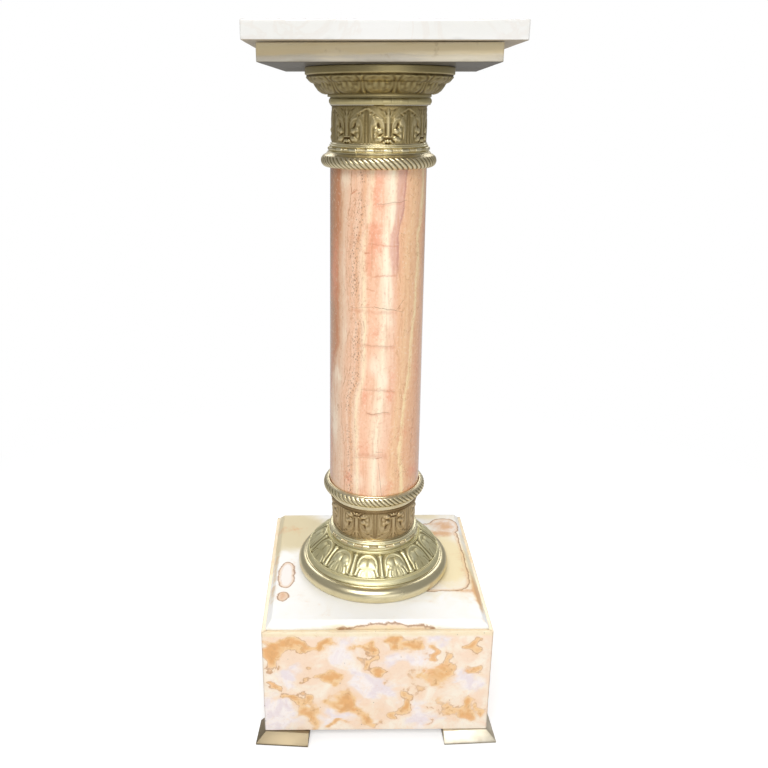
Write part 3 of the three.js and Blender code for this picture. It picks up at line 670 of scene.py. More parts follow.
finishes.update(
    topOnyx=whiteOnyx("top_slab_onyx"), edgeOnyx=edgeOnyx("lower_slab_onyx"),
    shaftOnyx=shaftOnyx("shaft_onyx"), panelOnyx=panelOnyx("panel_onyx"),
    plateOnyx=plateOnyx("plate_onyx"), footBrass=footBrass("foot_brass"),
    wornBrass=plainMetal("worn_brass", (206, 180, 112), (150, 122, 66), 0.3),
    rustedIron=plainMetal("rusted_iron", (96, 88, 82), (110, 72, 50), 0.5),
    wood=carcassWood("carcass_wood"), felt=packingFelt("packing_felt"))
# The CAD nodes that keep their own shape, by the start of their names
hiddenNodes = dict(
    wornBrass=("pivot_bush", "bearing_ring"), felt=("top_packing", "bottom_packing"),
    rustedIron=("tie_rod", "top_nut", "top_washer", "bottom_nut", "bottom_washer", "foot_screw_"),
    wood=("carrier_board", "base_board", "corner_block_"))
for finish, starts in hiddenNodes.items():
    for node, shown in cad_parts.items():
        if node.startswith(starts):
            shown.data.materials.clear()
            shown.data.materials.append(finishes[finish])
print("materials made")


# Castings: all sizes in millimetres, profiles as [radius, height above the casting's foot]
bore = 58.0


# A casting whose profile has a band of relief between two plain stretches. The mesh carries the
# relief's value, 0 in the band's grooves and 1 on its crests, and how hollow each point lies; the
# plain stretches below and above the band have a fixed value each.
def bandedCasting(below, band, above, relief, lift, wearAndShade, hollow, phase, foot, reach=(0.6, 3.2), spread=4):
    def rows(first, middle, last):
        parts = ((first, below), (middle, band), (last, above))
        return np.vstack([np.broadcast_to(value, (len(part), relief.shape[1])) for value, part in parts])

    points = turned(np.vstack([below, band, above]), rows(0, lift, 0), phase, foot)
    onBand = np.clip((relief + reach[0]) / reach[1], 0, 1)
    return shell(points, relief=rows(wearAndShade[0], onBand, wearAndShade[1]),
                 hollow=rows(hollow[0], hollowOf(relief, spread), hollow[1]))


# Bead and reel: a long bead, then six thin reels; the ring's small radius swells and shrinks.
# The places are shares of one repeat.
beadReel = dict(repeats=18, rows=14,
                place=(0.0, 0.015, 0.04, 0.08, 0.14, 0.22, 0.30, 0.38, 0.44, 0.48, 0.505, 0.52,
                       *(0.56 + 0.02 * np.arange(22))),
                swell=(0.62, 0.82, 0.94, 0.99, 1.0, 1.0, 1.0, 1.0, 0.99, 0.94, 0.82, 0.62,
                       *np.resize((0.84, 0.9, 0.84, 0.64), 22)))
beadAngle = (np.arange(beadReel["repeats"])[:, None] + beadReel["place"]).ravel() / beadReel["repeats"] * turn
beadSwell = np.tile(beadReel["swell"], beadReel["repeats"])


# A ring of beads: a circle of the swelling radius, carried round the axis
def beadRing(centreRadius, centreHeight, radius, phase):
    section = np.radians(np.linspace(0, 360, beadReel["rows"], endpoint=False))[:, None]
    around = centreRadius + radius * beadSwell * np.cos(section)
    height = centreHeight + radius * beadSwell * np.sin(section)
    angle = beadAngle + math.radians(phase)
    value = (beadSwell - 0.6) / 0.4
    return shell(np.stack([around * np.sin(angle), -around * np.cos(angle), height], -1),
                 relief=0.8 + 0.5 * value, hollow=0.3 + 0.5 * value)


# Drum: moulding and frieze on the outside, plain bore inside. The frieze's relief stands on a
# ground that lies lower than the frieze's own radius, so that its crests reach that radius.
frieze = dict(repeats=7, columns=80, rows=92, depth=2.4, halfWidth=29.4)
capitalDrum = dict(
    radius=65.4, friezeFoot=12.5, friezeTop=58.6, height=59.7, phase=8.2,
    beads=(67.0, 4.4, 2.8, 2.0),
    below=[line((bore, 0), (69.4, 0), 4), arc((69.4, 0.6), 0.6, -90, 60, 4),
           line((66.9, 1.5), (66.2, 4.4), 3), line((66.2, 7.2), (66.7, 7.6), 2),
           arc((66.4, 8.6), 1.0, -70, 70, 6), line((65.6, 9.9), (65.3, 10.3), 2),
           arc((65.2, 11.2), 0.8, -60, 90, 5)],
    above=[arc((64.6, 58.9), 0.8, 0, 90, 4), line((63.8, 59.7), (bore, 59.7), 3)])
baseDrum = dict(
    radius=66.5, friezeFoot=16.4, friezeTop=62.1, height=68.6, phase=25.7,
    beads=(68.0, 6.5, 3.4, 3.0),
    below=[line((bore, 0), (67.2, 0), 4), arc((67.2, 0.8), 0.8, -90, 60, 4),
           line((67.0, 3), (67.0, 9.6), 3), arc((68.4, 11.7), 1.9, -80, 80, 9),
           arc((67.4, 14.7), 1.5, -50, 90, 8), line((65.6, 16.2), (64.6, 16.3), 2)],
    above=[line((64.6, 62.2), (66.2, 62.4), 3), arc((66.6, 63.2), 0.8, -80, 80, 6),
           line((66.5, 64.4), (67.9, 64.8), 3), arc((67.9, 65.6), 0.7, -70, 60, 5),
           line((68.4, 66.6), (68.4, 68.2), 3), line((68.0, 68.6), (bore, 68.6), 3)])


# The band stands upright on the ground radius; the profile goes on over the rim and down the bore
def drumShells(node, sizes, upsideDown=False):
    foot = heightOf(node, True) - sizes["height"]
    ground = sizes["radius"] - frieze["depth"]
    band = line((ground, sizes["friezeFoot"] + 0.2), (ground, sizes["friezeTop"] - 0.2), frieze["rows"])
    above = np.vstack([*sizes["above"], line((bore, sizes["height"]), (bore, 0), 3)])
    relief = friezeRelief(frieze["columns"], frieze["rows"], frieze["halfWidth"],
                          sizes["friezeTop"] - sizes["friezeFoot"])
    relief = copiedRound(relief[::-1] if upsideDown else relief, frieze["repeats"])
    radius, height, beadRadius, phase = sizes["beads"]
    return (bandedCasting(np.vstack(sizes["below"]), band, above, relief, relief, (1.25, 0.35), (0.75, 0.4),
                          sizes["phase"] - 180 / frieze["repeats"], foot),
            beadRing(radius, height + foot, beadRadius, phase))


# Capital flare, with its leaf band along the slope
flare = dict(repeats=13, columns=52, rows=74, phase=-3.1, height=36.3, half=20.5, spread=3.5, ease=1.3,
             leaf=((70.4, 4.4), (75.0, 4.8), (78.6, 6.8), (82.2, 10.4), (84.6, 14.4), (86.0, 17.6),
                   (88.4, 19.0), (91.6, 19.8), (94.6, 22.4), (97.0, 26.4)),
             below=[line((bore, 0), (68.9, 0), 4), arc((68.9, 0.6), 0.6, -90, 0, 4),
                    arc((68.9, 2.9), 0.6, 0, 90, 4), line((68.8, 3.9), (69.6, 4.4), 3)],
             above=[line((97.9, 27.0), (98.7, 27.4), 3), arc((98.7, 28.3), 0.6, -60, 0, 4),
                    line((99.3, 29.4), (99.3, 34.3), 3), arc((98.6, 35.6), 0.7, 0, 90, 5),
                    line((90.3, 36.3), (90.3, 27.7), 3), line((69, 10), (bore, 8.8), 3)])


# The leaf band follows a smooth line through the control points, and its relief stands out from it
def flareShell():
    s = flare
    path = smoothLine(s["leaf"], 0.1, 3)
    leaf = path[np.linspace(0, len(path) - 1, s["rows"]).astype(int)]
    relief = flareRelief(s["columns"], leaf[:, 1] - s["leaf"][0][1], s["half"])
    # the relief dies out at both ends of the band
    share = np.linspace(0, 1, s["rows"])[:, None]
    relief = copiedRound(relief, s["repeats"], s["ease"]) * np.clip(share / 0.04, 0, 1) \
        * np.clip((1 - share) / 0.05, 0, 1)
    return bandedCasting(np.vstack(s["below"]), leaf, np.vstack(s["above"]), relief, relief * 0.9,
                         (1.09, 1.09), (0.55, 0.55), s["phase"] - 180 / s["repeats"],
                         heightOf("capital_flare", True) - s["height"], spread=s["spread"])


# Base bell, with its leaf-and-dart band up a slope
bell = dict(repeats=13, columns=54, rows=84, phase=-8.0, height=36.9, half=21.6, rise=38.7, ground=2.4,
            leafFoot=(104.6, 11.9), leafTop=(74.5, 36.3),
            below=[line((96, 0), (107, 0), 3), arc((106.7, 0.8), 0.8, -90, 60, 6),
                   line((105.3, 2.2), (103.4, 5.2), 4), line((103.0, 6.6), (103.4, 8.4), 3),
                   arc((103.9, 9.9), 1.2, -60, 100, 7)],
            above=[arc((74.0, 36.0), 0.9, 10, 100, 5), line((72.6, 36.0), (72.2, 35.7), 2),
                   line((71.2, 35.9), (70.5, 36.9), 3), line((bore, 36.9), (bore, 30.9), 2),
                   line((68.5, 24.9), (96, 3), 3)])


# The direction square to a straight line, on its right side
def squareTo(start, end):
    run = np.subtract(end, start)
    return np.array([run[1], -run[0]]) / math.hypot(*run)


# The slope runs straight up and bulges by 4 share (1 - share) millimetres. The pattern narrows with
# the bell, so its relief gets lower upwards too.
def bellShell():
    s = bell
    outward = squareTo(s["leafFoot"], s["leafTop"])
    share = np.linspace(0, 1, s["rows"])[:, None]
    leaf = line(s["leafFoot"] - outward * s["ground"], s["leafTop"] - outward * s["ground"] * 0.7, s["rows"])
    leaf = leaf + squareTo(leaf[0], leaf[-1]) * 4 * share * (1 - share)
    relief = copiedRound(bellRelief(s["columns"], s["rows"], s["half"], s["rise"]), s["repeats"])
    return bandedCasting(np.vstack(s["below"]), leaf, np.vstack(s["above"]), relief,
                         relief * (1 - 0.15 * share), (0.72, 0.72), (0.6, 0.6),
                         s["phase"] - 180 / s["repeats"], heightOf("base_bell", True) - s["height"],
                         reach=(0.4, 3.4))


# Neck ring: a half-round moulding of worn-down beads, a little off the axis
neckRing = dict(edge=67.3, height=9.7, bore=59.5, shift=1.1, round=4.4, flatten=0.8, beads=1.6)


# The moulding's points sink by beads * (1 - the bead and reel's swell) * sqrt(sin(share * pi))
def neckRingShell():
    s = neckRing
    edge, middle = s["edge"], s["height"] / 2
    moulding = arc((0, 0), s["round"], -46, 46, 14) * (s["flatten"], 1) + (edge - 1.88, middle)
    below = np.vstack([line((s["bore"], 0), (edge - 0.6, 0), 3), line((edge, 0.2), (edge, 1.5), 3)])
    above = np.vstack([line((edge, s["height"] - 1.5), (edge, s["height"] - 0.2), 3),
                       line((edge - 0.6, s["height"]), (s["bore"], s["height"]), 3),
                       line((s["bore"], s["height"] - 2), (s["bore"], 2), 2)])
    profile = np.vstack([below, moulding, above])
    mask = np.zeros((len(profile), 1))
    mask[len(below):-len(above)] = np.sin(np.linspace(0, math.pi, len(moulding)))[:, None] ** 0.5
    lift = -s["beads"] * (1 - beadSwell) * mask
    points = turned(profile, lift, -1.0, heightOf("capital_neck_ring"), beadAngle)
    points[..., 0] += s["shift"]
    return shell(points, relief=1.4 + lift * 0.25, hollow=0.9 + lift * 0.4)


# Foot ring: a large plain torus on the panel, open inside
footRing = dict(height=23.4, bore=100.0, radius=12.5, centre=(108.3, 9.8), columns=256)


# The torus starts on the panel, where height = centre height + radius * sin(start) is 0
def footRingShell():
    s = footRing
    start = -math.degrees(math.asin(s["centre"][1] / s["radius"]))
    profile = np.vstack([line((s["bore"], 0), (s["bore"] + 14, 0), 4),
                         arc(s["centre"], s["radius"], start, 84, 48),
                         arc((108.6, s["height"] - 0.6), 0.6, 10, 90, 4),
                         line((s["bore"] + 5, s["height"]), (s["bore"], s["height"]), 2)])
    return shell(turned(profile, np.zeros((1, s["columns"])), 0, heightOf("base_foot_ring")),
                 relief=0.8, hollow=0.6)


# Rope ring: strands wound round a torus. The strand's phase is strands * angle + slant * height, and
# its crest is sqrt(1 - t^2) over t from -1 to 1 across one strand. The strands die out on the shoulder.
rope = dict(strands=64, columns=12, radius=8.7, centreRadius=70.4, depth=1.5, pitchHeight=8.2,
            shoulder=50, shoulderFade=9)
shoulder = rope["centreRadius"] + rope["radius"] * math.cos(math.radians(rope["shoulder"])) - 2.2
capitalRope = dict(
    centreHeight=8.7, start=-90, phase=0.6, foot=heightOf("capital_rope_ring"),
    below=[line((66.9, 6.0), (66.9, 0.6), 3), line((67.3, 0.1), (70.0, 0.0), 4)],
    above=[line((shoulder - 1.2, 17.3), (shoulder - 2.6, 18.2), 4),
           line((shoulder - 3.0, 19.3), (bore, 19.3), 3), line((bore, 14.0), (66.9, 13.6), 3)])
baseRope = dict(
    centreHeight=17.1, start=-85, phase=1.4, foot=heightOf("base_rope_ring", True) - 26.0,
    below=[line((bore, 0), (67.6, 0), 4), line((68.1, 0.5), (68.3, 4.6), 4),
           line((68.7, 6.6), (70.2, 8.2), 3)],
    above=[line((shoulder - 0.2, 25.0), (shoulder - 0.9, 25.9), 4),
           line((shoulder - 1.6, 26.0), (70.1, 26.0), 3), line((70.0, 24.0), (70.0, 10.0), 3),
           line((62.0, 10.0), (bore, 9.9), 2)])


def ropeShell(sizes):
    centre = (rope["centreRadius"], sizes["centreHeight"])
    wound = arc(centre, rope["radius"], sizes["start"], rope["shoulder"] + 18, 40)
    below, above = np.vstack(sizes["below"]), np.vstack(sizes["above"])
    profile = np.vstack([below, wound, above])
    columns = rope["strands"] * rope["columns"]
    height = profile[:, 1] - centre[1]
    t = (np.arange(columns) / rope["columns"] + height[:, None] / rope["pitchHeight"]) % 1 * 2 - 1
    crest = np.sqrt(np.clip(1 - t ** 2, 0, 1))
    polar = np.degrees(np.arctan2(height, profile[:, 0] - centre[0]))
    mask = 1 / (1 + np.exp((polar - rope["shoulder"] + 4) / (rope["shoulderFade"] / 4)))
    mask[:len(below)] = 0
    mask[-len(above):] = 0
    mask = mask[:, None]
    return shell(turned(profile, -rope["depth"] * (1 - crest) * mask, sizes["phase"], sizes["foot"]),
                 relief=0.8 - 0.8 * (1 - crest) * mask, hollow=0.72 - 0.72 * (1 - crest) ** 0.7 * mask)


for node, finish, shells in (
        ("capital_flare", "flareBronze", [flareShell()]),
        ("capital_neck_ring", "flareBronze", [neckRingShell()]),
        ("capital_drum", "capitalBronze", drumShells("capital_drum", capitalDrum)),
        ("base_drum", "baseBronze", drumShells("base_drum", baseDrum, True)),
        ("base_bell", "bellBronze", [bellShell()]),
        ("base_foot_ring", "polishedBronze", [footRingShell()]),
        ("capital_rope_ring", "ropeBronze", [ropeShell(capitalRope)]),
        ("base_rope_ring", "ropeBronze", [ropeShell(baseRope)])):
    makePiece(node, "casting", "bronze", finish, *shells)
print("castings made")


# Stone:
shaft = dict(footRadius=69.6, topRadius=66.3, bore=11.0, arris=0.8, rows=260, columns=300)
# Where seven of the stone's layers run: at each height, their x on the front, all in millimetres
layers = dict(
    height=(830, 789, 760, 745, 723, 688, 652, 616, 591, 567, 541, 511, 474, 435, 387),
    share=(0.0, 0.10, 0.20, 0.32, 0.43, 0.63, 0.76, 0.90, 1.0),
    x=((-51.5, -51.4, -52, -53, -55, -55, -55, -56, -54, -60, -63, -66, -67, -67, -67),
       (-37, -38, -41, -42, -44, -44, -41.5, -39.5, -45, -45.7, -44.5, -51, -51, -47, -45.8),
       (-22.4, -23.5, -27, -29.7, -33, -31.5, -32.4, -28.5, -29.5, -28, -31, -39.7, -41, -40, -38),
       (-10, -12.5, -17, -19, -21, -22, -22, -20, -20, -19, -21, -29, -31, -30, -28),
       (18, 17, 15, 10, 9.3, 12.2, 11.8, 8, 7, 6, 5, 3, 0, -2, -3),
       (34.3, 33, 28, 24.6, 24.4, 24, 25, 27, 23, 25, 25, 22, 18, 15, 14),
       (60, 59, 57.2, 54, 53, 52, 53, 51, 47, 46, 44, 39.5, 36, 32, 35.5)))
# Soft patches: x, height, half width, half height and strength
blushes = ((-4, 815, 8, 20, 0.9), (-7, 790, 9, 14, 0.7), (-8, 755, 14, 12, 0.9), (-5, 733, 14, 13, 1.0),
           (-15, 705, 7, 22, 0.9), (26, 665, 10, 12, 0.5), (-17, 645, 9, 10, 0.5), (-4, 609, 12, 12, 0.6),
           (-18, 516, 5, 13, 1.0), (17, 518, 7, 14, 0.9), (21, 547, 6, 12, 0.7), (-14, 436, 24, 16, 0.55),
           (56, 388, 14, 14, 0.9), (-40, 384, 7, 12, 0.9), (20, 374, 8, 12, 0.6), (58, 560, 8, 40, 0.5),
           (40, 455, 12, 18, 0.5), (-60, 690, 7, 60, 0.8), (8, 480, 12, 14, 0.4), (62, 760, 6, 40, 0.6))
pales = ((-45, 818, 9, 14, 0.7), (14, 812, 11, 18, 0.6), (18, 774, 7, 18, 0.9), (11, 700, 8, 26, 0.8),
         (12, 662, 8, 22, 1.1), (15, 627, 9, 13, 0.7), (-4, 562, 13, 20, 0.9), (8, 540, 7, 14, 1.1),
         (-26, 384, 13, 16, 0.7), (9, 382, 9, 16, 0.7), (-56, 541, 6, 18, 0.9), (-61, 462, 7, 46, 0.9),
         (-48, 700, 4, 80, 0.5), (-46, 600, 4, 30, 0.6), (40, 610, 6, 30, 0.3), (2, 455, 14, 12, 0.4))


# A point's share across the layers, from its x and height, by straight lines between the layers
def layerShare(x, height):
    at = np.array(layers["height"], float)[::-1]
    level = np.clip(height, at[0], at[-1])
    edges = [np.full_like(x, -72.0)]
    edges += [np.interp(level, at, np.array(row, float)[::-1]) for row in layers["x"]]
    edges += [np.full_like(x, 72.0)]
    share = np.zeros_like(x)
    for k in range(len(edges) - 1):
        width = np.maximum(edges[k + 1] - edges[k], 1.0)
        part = np.clip((x - edges[k]) / width, 0, 1)
        share += part * (layers["share"][k + 1] - layers["share"][k])
    return share


# Each patch adds strength * exp(-(x from its middle / half width)^2 - (height from it / half height)^2)
def patchSum(x, height, patches):
    total = np.zeros_like(x)
    for px, pz, rx, rz, strength in patches:
        total += strength * np.exp(-((x - px) / rx) ** 2 - ((height - pz) / rz) ** 2)
    return total


# The shaft: a straight taper with small arrises, turned about the axis, open down its bore
def shaftShell():
    s = shaft
    foot, top = heightOf("shaft"), heightOf("shaft", True)
    length = top - foot
    profile = np.vstack([line((s["bore"], 0), (s["footRadius"] - s["arris"], 0), 3),
                         line((s["footRadius"], s["arris"]), (s["topRadius"], length - s["arris"]),
                              s["rows"]),
                         line((s["topRadius"] - s["arris"], length), (s["bore"], length), 3)])
    points = turned(profile, np.zeros((1, s["columns"])), 0, foot)
    x, y, z = points[..., 0], points[..., 1], points[..., 2]
    # the back shows the same layers, taken upside down
    back = np.clip((y + 14) / 28, 0, 1)
    back = back * back * (3 - 2 * back)
    over = foot + top - z

    def bothSides(work):
        return work(x, z) * (1 - back) + work(x, over) * back

    # the mauve vein fades out below the height of 695 mm
    return shell(points, layer=bothSides(layerShare),
                 blush=bothSides(lambda a, b: patchSum(a, b, blushes)),
                 pale=bothSides(lambda a, b: patchSum(a, b, pales)),
                 mauve=bothSides(lambda a, b: 1 / (1 + np.exp((695 - b) / 9))))


makePiece("shaft", "onyx", "pink_onyx", "shaftOnyx", shaftShell())


# A square outline with rounded corners, walked counterclockwise from the middle of the +X side: one
# straight and one corner arc, repeated at quarter turns; with the outward direction at each point
def squareLoop(half, corner, count):
    straight = 2 * (half - corner)
    side = straight + math.pi / 2 * corner
    at = (np.arange(count) / count * 4 * side + straight / 2) % (4 * side)
    which = np.floor(at / side).astype(int)
    along = at - which * side
    onArc = along > straight
    angle = np.where(onArc, (along - straight) / corner, 0)
    x = np.where(onArc, half - corner + corner * np.cos(angle), half)
    y = np.where(onArc, half - corner + corner * np.sin(angle), along - straight / 2)
    c, s = np.cos(which * math.pi / 2), np.sin(which * math.pi / 2)
    return (np.stack([c * x - s * y, s * x + c * y], -1),
            np.stack([c * np.cos(angle) - s * np.sin(angle), s * np.cos(angle) + c * np.sin(angle)], -1))


# Slabs: a chip is its place round the outline as a share, its size in columns, its depth, and
# whether it sits on the upper edge
slab = dict(columns=640, corner=1.6, wobble=((0.22, 7, 1), (0.16, 19, 0)))
topSlab = dict(half=162.0, arris=1.4, hole=10.4, holeDepth=13.4, degrees=-1.1,
               chips=((0.70, 2.5, 1.0, False), (0.813, 3.0, 1.2, False), (0.45, 3, 1.0, True)))
lowerSlab = dict(half=142.5, arris=1.1, hole=8.2, degrees=-3.3,
                 chips=((0.838, 2.6, 1.6, False), (0.846, 2.0, 1.1, False), (0.66, 2.0, 1.0, False),
                        (0.35, 3, 1.2, False)))
# Panel: closed veins as rounded shapes, [x, y, half width, half depth, squareness], and warm ground, whose
# patch at the back left is painted shade
panel = dict(half=162.5, chamfer=(8.0, 9.0), arris=0.8, hole=8.2, degrees=0, inner=60,
             veins=((-139, -37, 13.5, 35, 2.2), (-141, -97, 8.0, 11, 2), (78, 18, 73, 103, 6),
                    (131, 112, 24, 27, 2.4), (15, -168, 80, 9.4, 2)),
             warm=((112, 10, 60, 96, 1.2), (-130, 98, 50, 56, 1.7), (70, 148, 90, 14, 0.5),
                   (158, -90, 6, 50, 0.9), (-158, 0, 5, 150, 0.5), (0, -162, 120, 4, 0.7)),
             rust=((131, 112, 20, 24, 0.9), (118, 86, 26, 9, 1.0), (157, -92, 5, 52, 1.1),
                   (-141, -97, 8, 12, 0.8), (-158, -20, 5, 80, 0.5), (136, -84, 26, 5, 0.6),
                   (146, -20, 8, 60, 0.4), (-130, -10, 6, 24, 0.4), (-132, 104, 26, 20, 0.35)))


# A square slab with rubbed arrises and small chips: square loops, one above the other, drawn in at
# the edges by a quarter circle or a chamfer. Their points waver near an edge by two sine waves, and
# each chip draws them in by depth * exp(-(way round / size)^2 - (height from the edge / 2.2)^2). The
# hole in the underside is blind in the upper slab and goes through in the others.
def slabShell(node, sizes):
    half, arris, foot, top = sizes["half"], sizes["arris"], heightOf(node), heightOf(node, True)
    count, corner = slab["columns"], slab["corner"]
    fillet = np.radians(np.linspace(0, 90, 6))
    under = [(arris * (1 - math.sin(a)), foot + arris * (1 - math.cos(a))) for a in fillet[:-1]]
    over = [(arris * (1 - math.cos(a)), top - arris * (1 - math.sin(a))) for a in fillet[1:]]
    if "chamfer" in sizes:
        inward, down = sizes["chamfer"]
        over = [(inward * t, top - down * (1 - t)) for t in np.linspace(0, 1, 10)]
    side = [(0, z) for z in np.linspace(foot + arris, over[0][1], 8)[:-1]]
    column = np.arange(count)
    wobble = sum(size * np.sin(column * turn * waves / count + phase)
                 for size, waves, phase in slab["wobble"])
    loops = []
    for inset, z in [(arris + 2, foot), *under, *side, *over, (over[-1][0] + 2, top)]:
        nearEdge = max(0.0, 1 - min(abs(z - foot), abs(z - top)) / 4)
        push = wobble * nearEdge * 0.6 * (inset < 1.5)
        for place, size, depth, onTop in sizes.get("chips", ()):
            along = ((column / count - place + 0.5) % 1 - 0.5) * count
            away = z - (top if onTop else foot)
            push = push - depth * np.exp(-(along / size) ** 2) * math.exp(-(away / 2.2) ** 2)
        outline, outward = squareLoop(half - inset, max(corner - inset, 0.4), count)
        loops.append(np.column_stack([outline + outward * push[:, None], np.full(count, z)]))
    last = outline + outward * push[:, None]
    outline = squareLoop(half, corner, count)[0]
    polar = np.arctan2(outline[:, 1], outline[:, 0])
    circle = np.stack([np.cos(polar), np.sin(polar)], -1) * sizes["hole"]
    rim = np.column_stack([circle, np.full(count, foot)])
    blind = "holeDepth" in sizes
    if blind:
        loops = [np.column_stack([circle, np.full(count, foot + sizes["holeDepth"])]), rim, *loops]
    else:
        for share in np.linspace(0, 1, sizes.get("inner", 0) + 2)[1:]:
            loops.append(np.column_stack([last + (circle - last) * share, np.full(count, top)]))
        loops.append(rim)
    grid = np.array(loops)
    c, s = math.cos(math.radians(sizes["degrees"])), math.sin(math.radians(sizes["degrees"]))
    x, y = grid[..., 0], grid[..., 1]
    points = np.stack([c * x - s * y, s * x + c * y, grid[..., 2]], -1)
    return shell(points, not blind, (blind, blind))


# How far inside the nearest vein a point lies, in millimetres: below 0 outside. The value 1 - away
# is divided by its slope, which makes it a distance near the vein's edge.
def veinDepth(x, y, veins):
    deepest = np.full_like(x, -40.0)
    for cx, cy, rx, ry, power in veins:
        across, along = np.abs(x - cx) / rx + 1e-3, np.abs(y - cy) / ry + 1e-3
        away = (across ** power + along ** power) ** (1 / power)
        slope = away ** (1 - power) * np.hypot(across ** (power - 1) / rx, along ** (power - 1) / ry)
        deepest = np.maximum(deepest, (1 - away) / slope)
    return deepest


def panelShell():
    plain = slabShell("plinth_panel", panel)
    x, y = plain["points"][..., 0], plain["points"][..., 1]
    return shell(plain["points"], vein=veinDepth(x, y, panel["veins"]) / 10,
                 warm=patchSum(x, y, panel["warm"]), rust=patchSum(x, y, panel["rust"]))


makePiece("top_slab", "onyx", "white_onyx", "topOnyx", slabShell("top_slab", topSlab), body="turning_top")
makePiece("lower_slab", "onyx", "white_onyx", "edgeOnyx", slabShell("lower_slab", lowerSlab))
makePiece("plinth_panel", "onyx", "white_onyx", "panelOnyx", panelShell())
print("slabs made")

# Feet: each CAD foot's own shape, its doubles merged and its arrises eased by a bevel
footEasing = dict(width=0.35, segments=2, sharp=25, flat=0.5)


def makeFoot(node):
    shape = bmesh.new()
    shape.from_mesh(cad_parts[node].data)
    shape.transform(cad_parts[node].matrix_world)
    bmesh.ops.remove_doubles(shape, verts=shape.verts, dist=2e-6)
    bmesh.ops.dissolve_limit(shape, angle_limit=math.radians(footEasing["flat"]), verts=shape.verts,
                             edges=shape.edges)
    mesh = bpy.data.meshes.new(f"{node}_brass")
    shape.to_mesh(mesh)
    shape.free()
    bevel = placePiece(mesh, node, "footBrass").modifiers.new("easing", "BEVEL")
    bevel.width, bevel.segments = footEasing["width"] * mm, footEasing["segments"]
    bevel.limit_method, bevel.angle_limit = "ANGLE", math.radians(footEasing["sharp"])
    bevel.harden_normals = True


# Plates: patches by their place on the front, [x, height, half width, half height, strength]
plate = dict(half=168.5, thickness=18.0, gap=0.15, arris=0.7, rubbed=0.35, rows=62, columns=112, seed=11,
             turns={"front": 0, "right": 90, "back": 180, "left": 270},
             caramel=((-154, 135, 18, 20, 1), (-124, 155, 21, 11, 1), (-159, 155, 11, 10, 0.8),
                      (-88, 157, 20, 8, 0.8), (-73, 162, 11, 8, 0.7), (-28, 158, 12, 10, 0.7),
                      (-8, 152, 10, 13, 1), (21, 155, 10, 11, 1), (48, 159, 17, 12, 1),
                      (84, 139, 15, 4, 0.9), (137, 156, 10, 11, 1), (155, 158, 7, 8, 0.4),
                      (1, 107, 10, 11, 1.1), (-17, 128, 8, 13, 0.6), (-70, 100, 14, 11, 0.9),
                      (-106, 108, 8, 6, 0.5), (-88, 95, 17, 8, 0.5), (-152, 78, 18, 7, 0.9),
                      (-129, 63, 15, 7, 0.9), (-101, 50, 17, 13, 0.8), (-95, 25, 13, 17, 0.9),
                      (-112, 35, 11, 12, 0.6), (-48, 62, 15, 15, 1), (-62, 45, 11, 12, 0.8),
                      (-32, 42, 15, 10, 0.9), (-17, 25, 15, 12, 0.8), (-55, 12, 12, 7, 0.9),
                      (-3, 10, 13, 6, 0.7), (41, 50, 10, 18, 1.1), (23, 25, 12, 11, 1),
                      (78, 98, 24, 18, 0.65), (95, 108, 14, 13, 0.5), (113, 128, 7, 20, 0.6),
                      (145, 112, 12, 11, 0.75), (108, 40, 22, 18, 0.65), (141, 48, 9, 15, 1),
                      (129, 32, 10, 8, 0.7), (159, 32, 6, 13, 0.6), (84, 13, 17, 4, 0.5),
                      (67, 72, 14, 13, 0.3)),
             milky=((-50, 142, 21, 25, 0.5), (-129, 103, 18, 15, 0.8), (-154, 45, 20, 15, 1),
                    (-145, 17, 24, 15, 1), (-56, 28, 24, 12, 0.9), (-6, 77, 34, 20, 0.9),
                    (28, 127, 31, 15, 0.7), (62, 142, 11, 13, 0.5), (129, 92, 20, 15, 0.6),
                    (62, 28, 15, 25, 0.8), (90, 162, 17, 12, 0.6), (148, 82, 14, 17, 0.4),
                    (-22, 95, 17, 13, 0.5), (95, 18, 17, 10, 0.4)))


# Patches for the plates that the front doesn't show: as many, spread evenly, of like sizes
def looseCopy(patches, chance):
    rows = np.array(patches, float)
    rows[:, 0] = chance.uniform(-165, 165, len(rows))
    rows[:, 1] = chance.uniform(5, 170, len(rows))
    rows[:, 2:] = chance.permutation(rows[:, 2:])
    return rows


# The stone's flow: each point is read a little aside, by sums of long waves
def stirred(across, up, reach=5.0):
    aside, over = np.zeros_like(across), np.zeros_like(across)
    for size, length, lean, phase in ((1.0, 74, 0.5, 0.3), (0.8, 47, 2.2, 1.9), (0.6, 31, 3.9, 4.1),
                                      (0.5, 23, 5.4, 2.6), (0.35, 15, 1.2, 5.2)):
        wave = (across * math.cos(lean) + up * math.sin(lean)) * turn / length + phase
        aside += size * reach * np.sin(wave)
        over += size * reach * np.cos(wave * 1.13 + phase)
    return across + aside, up + over


